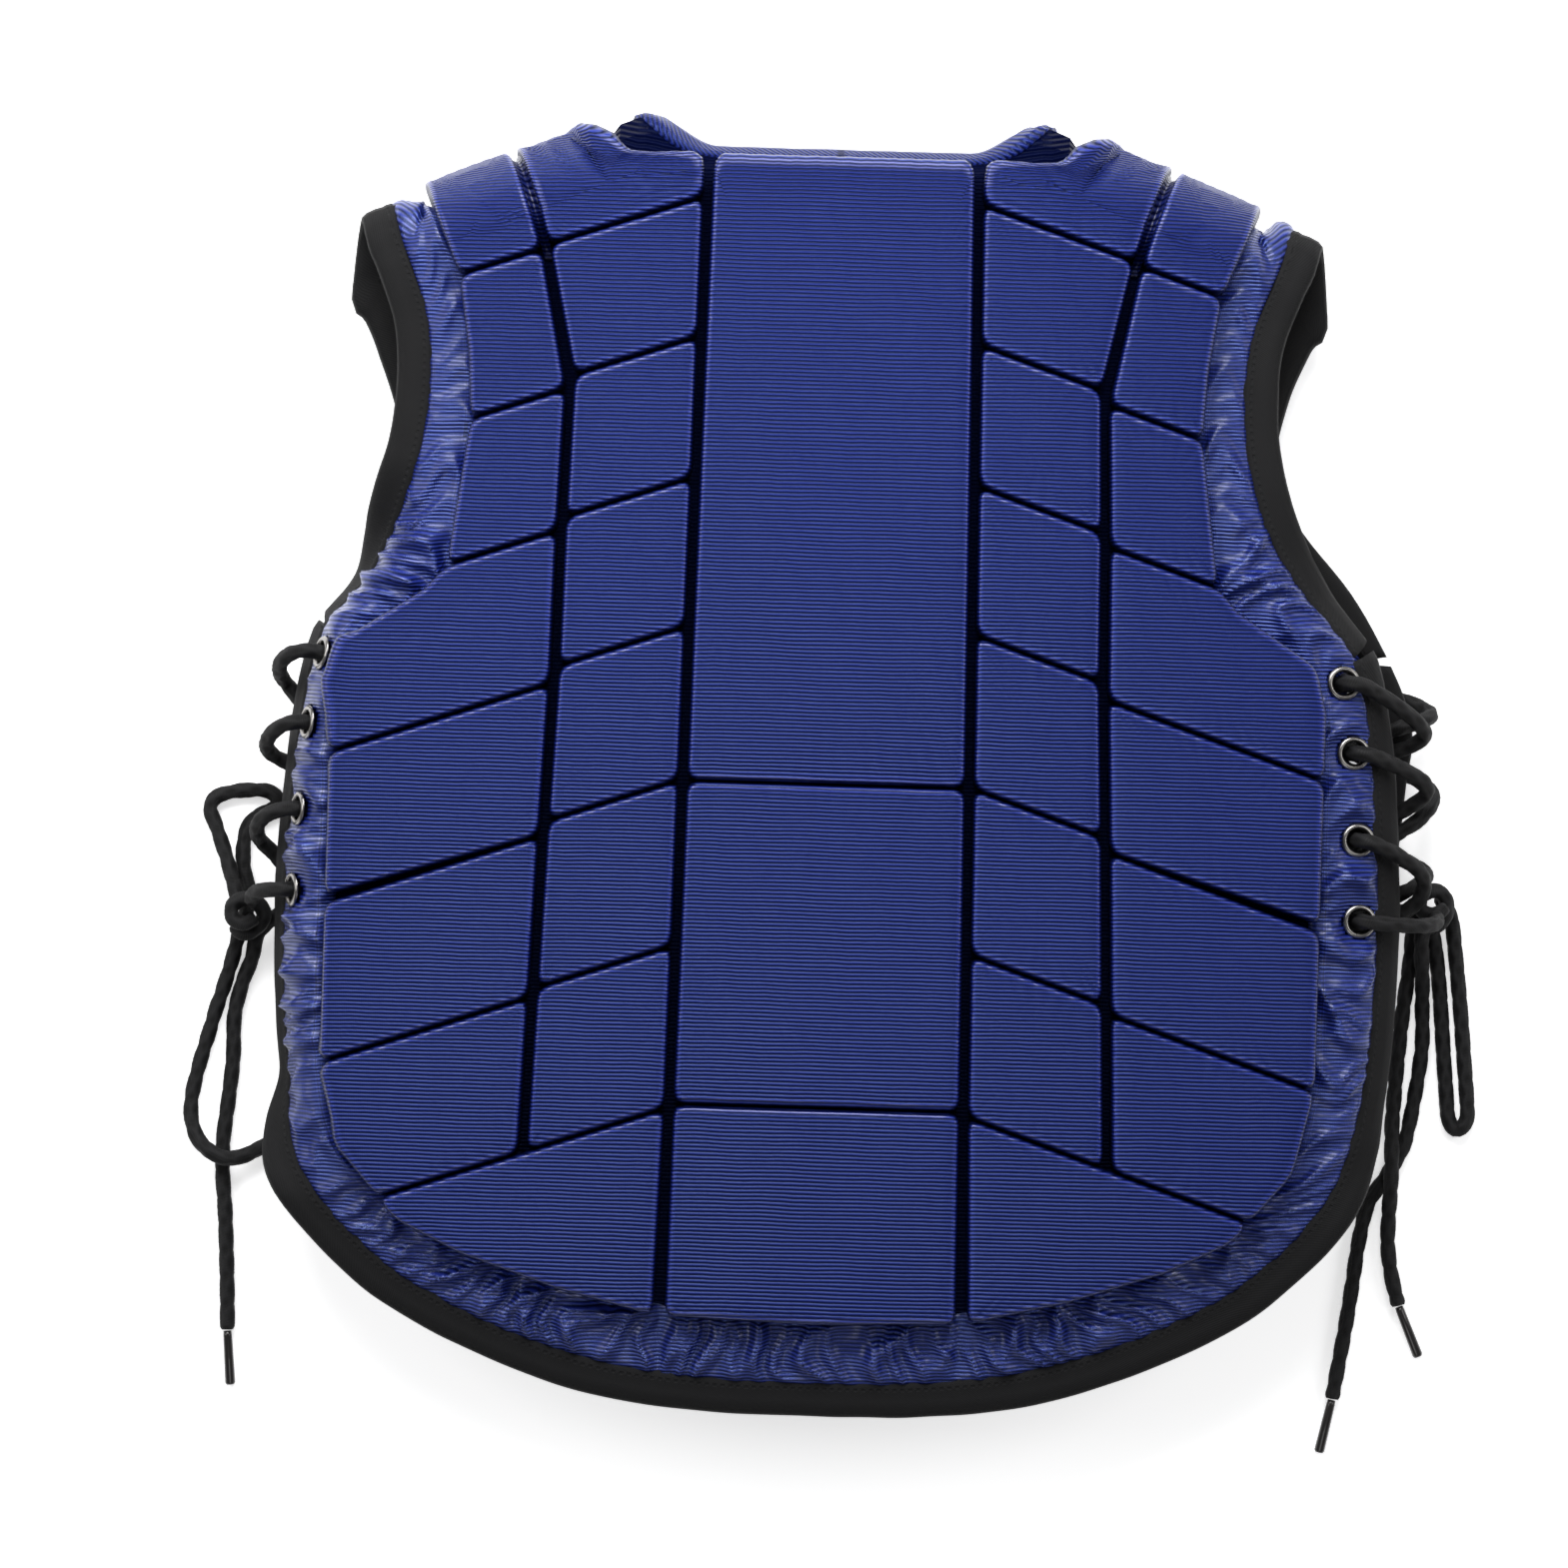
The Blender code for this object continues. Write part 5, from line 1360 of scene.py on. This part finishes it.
def closed_sheet(name, top, under_side, places, hole, columns):
    """A thin closed sheet from two matching grids, open where the hole list says so."""
    offset = len(top)
    cells = set()
    for column in range(columns - 1):
        for row in range(STRIP_ROWS - 1):
            corners = cell_corners(column, row)
            if not any(hole[corner] for corner in corners):
                cells.add((column, row))
    faces = []
    for column, row in cells:
        corners = cell_corners(column, row)
        faces.append(corners)
        faces.append(tuple(corner + offset for corner in corners[::-1]))
        neighbours = [(column, row - 1), (column + 1, row), (column, row + 1), (column - 1, row)]
        for number, neighbour in enumerate(neighbours):
            if neighbour not in cells:
                a, b = corners[number], corners[(number + 1) % 4]
                faces.append((b, a, a + offset, b + offset))
    sheet = mesh_object(name, top + under_side, faces, places + places)
    mesh = bmesh.new()
    mesh.from_mesh(sheet.data)
    loose = [point for point in mesh.verts if not point.link_faces]
    bmesh.ops.delete(mesh, geom=loose, context="VERTS")
    mesh.to_mesh(sheet.data)
    mesh.free()
    turn_outwards(sheet)
    return sheet


def cell_corners(column, row):
    low = column * STRIP_ROWS + row
    return low, low + STRIP_ROWS, low + STRIP_ROWS + 1, low + 1


strip = make_strip()
# The strip wears the brightened copy of the satin: painted highlight, with a real gloss coat
finish_piece(strip, satin_painted_bright)

# %% [markdown]
# ## Cloth over the fold in the grooves
# Where a groove runs over the shoulder, the cover doesn't go all the way down between the foam
# blocks but bridges them. A short strip of satin closes each of the two grooves there; it is a
# darkened copy of the satin, with painted shade, as the groove lies in shade.

# %% Groove bridges
BRIDGE_START = -0.016
BRIDGE_END = 0.034
BRIDGE_STEP = 0.0016
BRIDGE_RISE = 0.80
BRIDGE_SAG = 0.0016
BRIDGE_WIDTH = 0.0036
# Depth the satin reads on the bridges: half its painted groove shade and its full painted edge highlight
BRIDGE_DEPTH = 0.003


def groove_middle(along):
    """Where the middle of the outer groove lies at a place along the pattern."""
    (upper_across, upper), (lower_across, lower) = groove_line(crease_lines(1), 0)
    return lower_across + (upper_across - lower_across) * (along - lower) / (upper - lower)


def make_bridge(side, word):
    top, under_side, places = [], [], []
    shoulder = crest(groove_middle(NECK_CREST))
    count = round((BRIDGE_END - BRIDGE_START) / BRIDGE_STEP)
    for column in range(count + 1):
        past = BRIDGE_START + BRIDGE_STEP * column
        along = shoulder + past
        rise = FOAM_THICKNESS * BRIDGE_RISE * ramp(past, BRIDGE_START, 0.6 * BRIDGE_STEP)
        for row in range(STRIP_ROWS):
            part = row / (STRIP_ROWS - 1)
            across = side * (groove_middle(along) + (part - 0.5) * BRIDGE_WIDTH)
            sag = BRIDGE_SAG * math.sin(math.pi * part)
            lift = STRIP_BASE + STRIP_WALL + max(0.0, rise - sag)
            top.append(lay(across, along, lift))
            under_side.append(lay(across, along, lift - STRIP_WALL))
            places.append((across, along, BRIDGE_DEPTH))
    return closed_sheet(f"groove_bridge_{word}", top, under_side, places, [False] * len(top), count + 1)


for side, word in ((-1, "left"), (1, "right")):
    bridge = make_bridge(side, word)
    finish_piece(bridge, satin_painted_shade)

# %% [markdown]
# ## Bindings
# A tape is folded over the raw edge and sewn through. Its section is a flattened oval, a little
# fuller at the fold, and it runs along the edge of the cloth. The neck is bound with the same
# satin, cut on the bias, so its ribs run slantwise.

# %% Edge lines
FOLD_MARGIN = 0.25


def in_fold(point):
    past = point[1] - crest(point[0])
    margin = FOLD_MARGIN * FOLD_RADIUS
    return -margin < past < FOLD_LENGTH + margin


def smooth_through(points):
    """Points along a smooth curve through a table's points, closer together in the fold."""
    ends = [points[0]] + points + [points[-1]]
    samples = []
    for before, start, end, after in zip(ends, ends[1:], ends[2:], ends[3:]):
        length = math.dist(start, end)
        finest = FOLD_LENGTH / FOLD_STEPS
        step = finest if in_fold(start) or in_fold(end) else STATION_STEP
        count = max(1, round(length / step))
        samples += [between(before, start, end, after, index / count) for index in range(count)]
    return samples + [points[-1]]


def seam_point(share):
    across = share * HALF_WIDTH
    return across, crest(across) + FOLD_LENGTH


def back_neck_curve():
    return smooth_through(scaled(BACK_NECK_EDGE) + [seam_point(NECK_SEAM_ACROSS)])


def front_neck_curve():
    return smooth_through([seam_point(NECK_SEAM_ACROSS)] + front_scaled(FRONT_NECK_EDGE))


def back_armhole_curve():
    return smooth_through([seam_point(ARMHOLE_SEAM_ACROSS)] + scaled(BACK_ARMHOLE_EDGE))


def front_armhole_curve():
    return smooth_through([seam_point(ARMHOLE_SEAM_ACROSS)] + front_scaled(FRONT_ARMHOLE_EDGE))


def back_side_curve():
    return smooth_through(scaled(BACK_SIDE_EDGE))


def front_side_curve():
    return smooth_through(front_scaled(FRONT_SIDE_EDGE))


def binding_routes():
    """Node name, route on the pattern, width and whether closed, for each binding."""
    right_neck = back_neck_curve() + front_neck_curve()[1:]
    neck = right_neck + mirrored(right_neck)[-2:0:-1]
    right_arm = back_armhole_curve()[::-1] + front_armhole_curve()[1:]
    routes = [
        ("neck_binding", neck, NECK_BINDING_WIDTH, True),
        ("armhole_binding_right", right_arm[::-1], BINDING_WIDTH, False),
        ("armhole_binding_left", mirrored(right_arm), BINDING_WIDTH, False),
    ]
    for name, curve, flip in (
        ("back_edge_binding", back_side_curve(), -1), ("front_edge_binding", front_side_curve(), 1)
    ):
        start = Vector(curve[0]).lerp(Vector(curve[1]), 4 * JOIN_GAP / math.dist(curve[0], curve[1]))
        right = [tuple(start)] + curve[1:]
        route = mirrored(right) + right[-2::-1]
        routes.append((name, route[::flip], BINDING_WIDTH, False))
    return routes

# %% [markdown]
# One tape section is set up at every station of an edge line and joined to the next, as a tape
# runs through a sewing machine. It wavers a little, because hand-guided sewing does.

# %% Binding tapes
TAPE_STEP = 0.0026
TAPE_WAVER = 0.00035
TAPE_DEPTH = 0.02
# Columns: out from the cloth's edge as a share of the width, rise in metres
TAPE_SECTION = [
    (-0.09, 0.0009), (0.14, 0.0014), (0.26, 0.0011), (0.50, 0.0015), (0.76, 0.0014), (0.93, 0.0004),
    (1.00, -0.0012), (0.93, -0.0029), (0.74, -0.0036), (0.45, -0.0037), (0.20, -0.0036), (-0.09, -0.0033),
]


def make_tape_band(name, route, width, closed):
    """A tape along the left of its route on the pattern."""
    line = [Vector((*point, 0.0)) for point in (route + route[:1] if closed else route)]
    line = evenly(line, TAPE_STEP)
    if closed:
        line = line[:-1]
    points, places = [], []
    count = len(line)
    for index, point in enumerate(line):
        before = line[index - 1] if index or closed else point
        after = line[(index + 1) % count] if index + 1 < count or closed else point
        heading = (after - before).normalized()
        run = index * TAPE_STEP
        waver = TAPE_WAVER * noise.noise(Vector((run * 55.0, width * 900.0, 2.0)))
        for out, rise in TAPE_SECTION:
            reach = out * width + (waver if out > 0.5 else 0.0)
            lift = rise + (0.6 * waver if rise > 0 else 0.0)
            points.append(lay(point.x - heading.y * reach, point.y + heading.x * reach, lift))
            places.append((run, reach, TAPE_DEPTH))
    sections = len(TAPE_SECTION)
    faces = ring_faces(count, sections)
    if closed:
        last = (count - 1) * sections
        for step in range(sections):
            after = (step + 1) % sections
            faces.append((last + step, last + after, after, step))
    else:
        faces.append(tuple(range(sections)))
        faces.append(tuple(range((count - 1) * sections, count * sections))[::-1])
    band = mesh_object(name, points, faces, places)
    turn_outwards(band)
    return band


for node, route, width, closed in binding_routes():
    satin_band = node == "neck_binding"
    finish = satin_bias if satin_band else tape
    band = make_tape_band(f"tape_{node}", route, width, closed)
    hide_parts(node)
    finish_piece(band, finish)
print("bindings made")

# %% [markdown]
# ## Eyelets
# A metal eyelet is one turned shape: a rolled rim on the outside of the cloth and a barrel through
# it. Its profile is spun once round and copied to each hole, of the back and of the front.

# %% Eyelet shape
# Columns: radius and height in millimetres, for the back's eyelets
EYELET_PROFILE = [
    (4.55, 1.15), (4.85, 1.65), (5.45, 1.85), (6.10, 1.60), (6.60, 1.05), (6.65, 0.75), (5.00, 0.72),
    (4.98, -2.9), (4.55, -2.9),
]
# The same for the front's eyelets
FRONT_EYELET_PROFILE = [
    (3.95, 1.0), (4.5, 1.5), (5.6, 1.6), (6.8, 1.2), (7.3, 0.6), (7.2, 0.32), (4.32, 0.32),
    (4.30, -2.9), (3.95, -2.9),
]
EYELET_SPIN = 36
MERGE_DISTANCE = 0.00002


def make_eyelet_shape(name, profile):
    """Spin the profile round Z in edit mode and close the surface."""
    deselect()
    bpy.ops.mesh.primitive_plane_add(size=0.001)
    shape = bpy.context.object
    mesh = bmesh.new()
    points = [mesh.verts.new((radius / 1000, 0.0, height / 1000)) for radius, height in profile]
    for index in range(len(points)):
        mesh.edges.new((points[index - 1], points[index]))
    mesh.to_mesh(shape.data)
    mesh.free()
    shape.name = name
    bpy.ops.object.mode_set(mode="EDIT")
    bpy.ops.mesh.select_all(action="SELECT")
    bpy.ops.mesh.spin(steps=EYELET_SPIN, angle=math.tau, center=(0, 0, 0), axis=(0, 0, 1))
    bpy.ops.mesh.select_all(action="SELECT")
    bpy.ops.mesh.remove_doubles(threshold=MERGE_DISTANCE)
    bpy.ops.mesh.normals_make_consistent(inside=False)
    bpy.ops.object.mode_set(mode="OBJECT")
    shape.data.shade_smooth()
    return shape


def place_eyelet(shape, name, across, along):
    """A copy of the eyelet whose axis stands on the cloth at a pattern point."""
    foot = lay(across, along, 0.0)
    up = (lay(across, along, 0.001) - foot).normalized()
    turn = Vector((0, 0, 1)).rotation_difference(up).to_matrix().to_4x4()
    data = shape.data.copy()
    data.transform(Matrix.Translation(foot) @ turn)
    piece = bpy.data.objects.new(name, data)
    bpy.context.scene.collection.objects.link(piece)
    turn_outwards(piece)
    return piece


back_shape = make_eyelet_shape("back_eyelet_shape", EYELET_PROFILE)
front_shape = make_eyelet_shape("front_eyelet_shape", FRONT_EYELET_PROFILE)
for side, word in ((-1, "left"), (1, "right")):
    for row, centre in enumerate(eyelet_centres(side)):
        node = f"eyelet_{word}_{row + 1}"
        piece = place_eyelet(back_shape, f"rolled_{node}", *centre)
        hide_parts(node)
        finish_piece(piece, nickel)
    for row, centre in enumerate(front_eyelet_centres(side)):
        piece = place_eyelet(front_shape, f"front_eyelet_{word}_{row + 1}", *centre)
        finish_piece(piece, nickel)
for shape in (back_shape, front_shape):
    bpy.data.objects.remove(shape)

# %% [markdown]
# ## The plain hidden pieces
# The two shells, the front pads and the zip keep their CAD shapes. They get the same cloth and
# tape, the back shell a darkened copy of the satin with painted shade, as it shows only in the
# grooves. The place on the cloth is worked out from each point.

# %% Cloth for the CAD nodes
def store_places(thing, depth):
    """Store across, along and a depth with each point of a CAD node."""
    places = []
    for point in thing.data.vertices:
        across, along, height = point.co + BOX_MIDDLE
        edge = crest(across)
        past = along - edge
        if past > 0.0:
            along = edge + FOLD_RADIUS * math.atan2(past, height - FRONT_LEVEL - FOLD_RADIUS)
        elif height <= FRONT_LEVEL + FOLD_RADIUS:
            along = edge + FOLD_LENGTH - past
        places.append((across, along, depth))
    store = thing.data.attributes.new("cloth", "FLOAT_VECTOR", "POINT")
    store.data.foreach_set("vector", [value for place in places for value in place])


# The depth feeds the satin's painted shade and painted edge highlight: 0 shades the back shell fully,
# 0.004 gives the front shell some shade and the edge highlight, 0.006 and more paint neither
for node, finish, depth in (
    ("back_shell", satin_painted_shade, 0.0), ("front_shell", satin, 0.004), ("front_pad_left", satin, 0.006),
    ("front_pad_right", satin, 0.006), ("front_zip", tape, 0.010),
):
    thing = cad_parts[node]
    store_places(thing, depth)
    thing.data.materials.clear()
    thing.data.materials.append(finish)

# %% [markdown]
# ## Table and light
# The vest lies on a plain white table that glows a little, as a lit white backdrop does, so the
# shadows stay faint.

# %% Table
TABLE_GLOW = 0.55
TABLE_SIZE = 8.0
deselect()
bpy.ops.mesh.primitive_plane_add(size=TABLE_SIZE, location=(0, 0, 0))
table = bpy.context.object
table.name = "white_table"
white, white_shader, _ = new_material("white_table_top", (0.95, 0.95, 0.955), 0.6)
white_shader.inputs["Emission Color"].default_value = (1.0, 1.0, 1.0, 1.0)
white_shader.inputs["Emission Strength"].default_value = TABLE_GLOW
table.data.materials.append(white)

# %% [markdown]
# Four broad soft lamps look down at the vest. The one at the neck end is the strongest, so the ribs
# shine there and fade towards the hem.

# %% Lights
# Columns: place, width, height, watts
LIGHTS = [
    ((-0.12, 0.75, 0.75), 1.0, 0.6, 17.5),
    ((-1.5, 0.4, 1.2), 1.0, 0.8, 10.5),
    ((1.5, 0.4, 1.2), 1.0, 0.8, 9.0),
    ((0.0, -1.3, 1.7), 0.8, 0.8, 4.5),
]
WORLD_STRENGTH = 0.20
for number, (place, width, height, watts) in enumerate(LIGHTS):
    bpy.ops.object.light_add(type="AREA", location=place)
    lamp = bpy.context.object
    lamp.name = f"softbox_{number + 1}"
    lamp.data.shape = "RECTANGLE"
    lamp.data.size = width
    lamp.data.size_y = height
    lamp.data.energy = watts
    lamp.rotation_euler = (-Vector(place)).to_track_quat("-Z", "Y").to_euler()

world = bpy.data.worlds.new("soft_room")
world.use_nodes = True
world.node_tree.nodes["Background"].inputs["Color"].default_value = (1.0, 1.0, 1.0, 1.0)
world.node_tree.nodes["Background"].inputs["Strength"].default_value = WORLD_STRENGTH
bpy.context.scene.world = world
bpy.context.scene.view_settings.view_transform = "Standard"
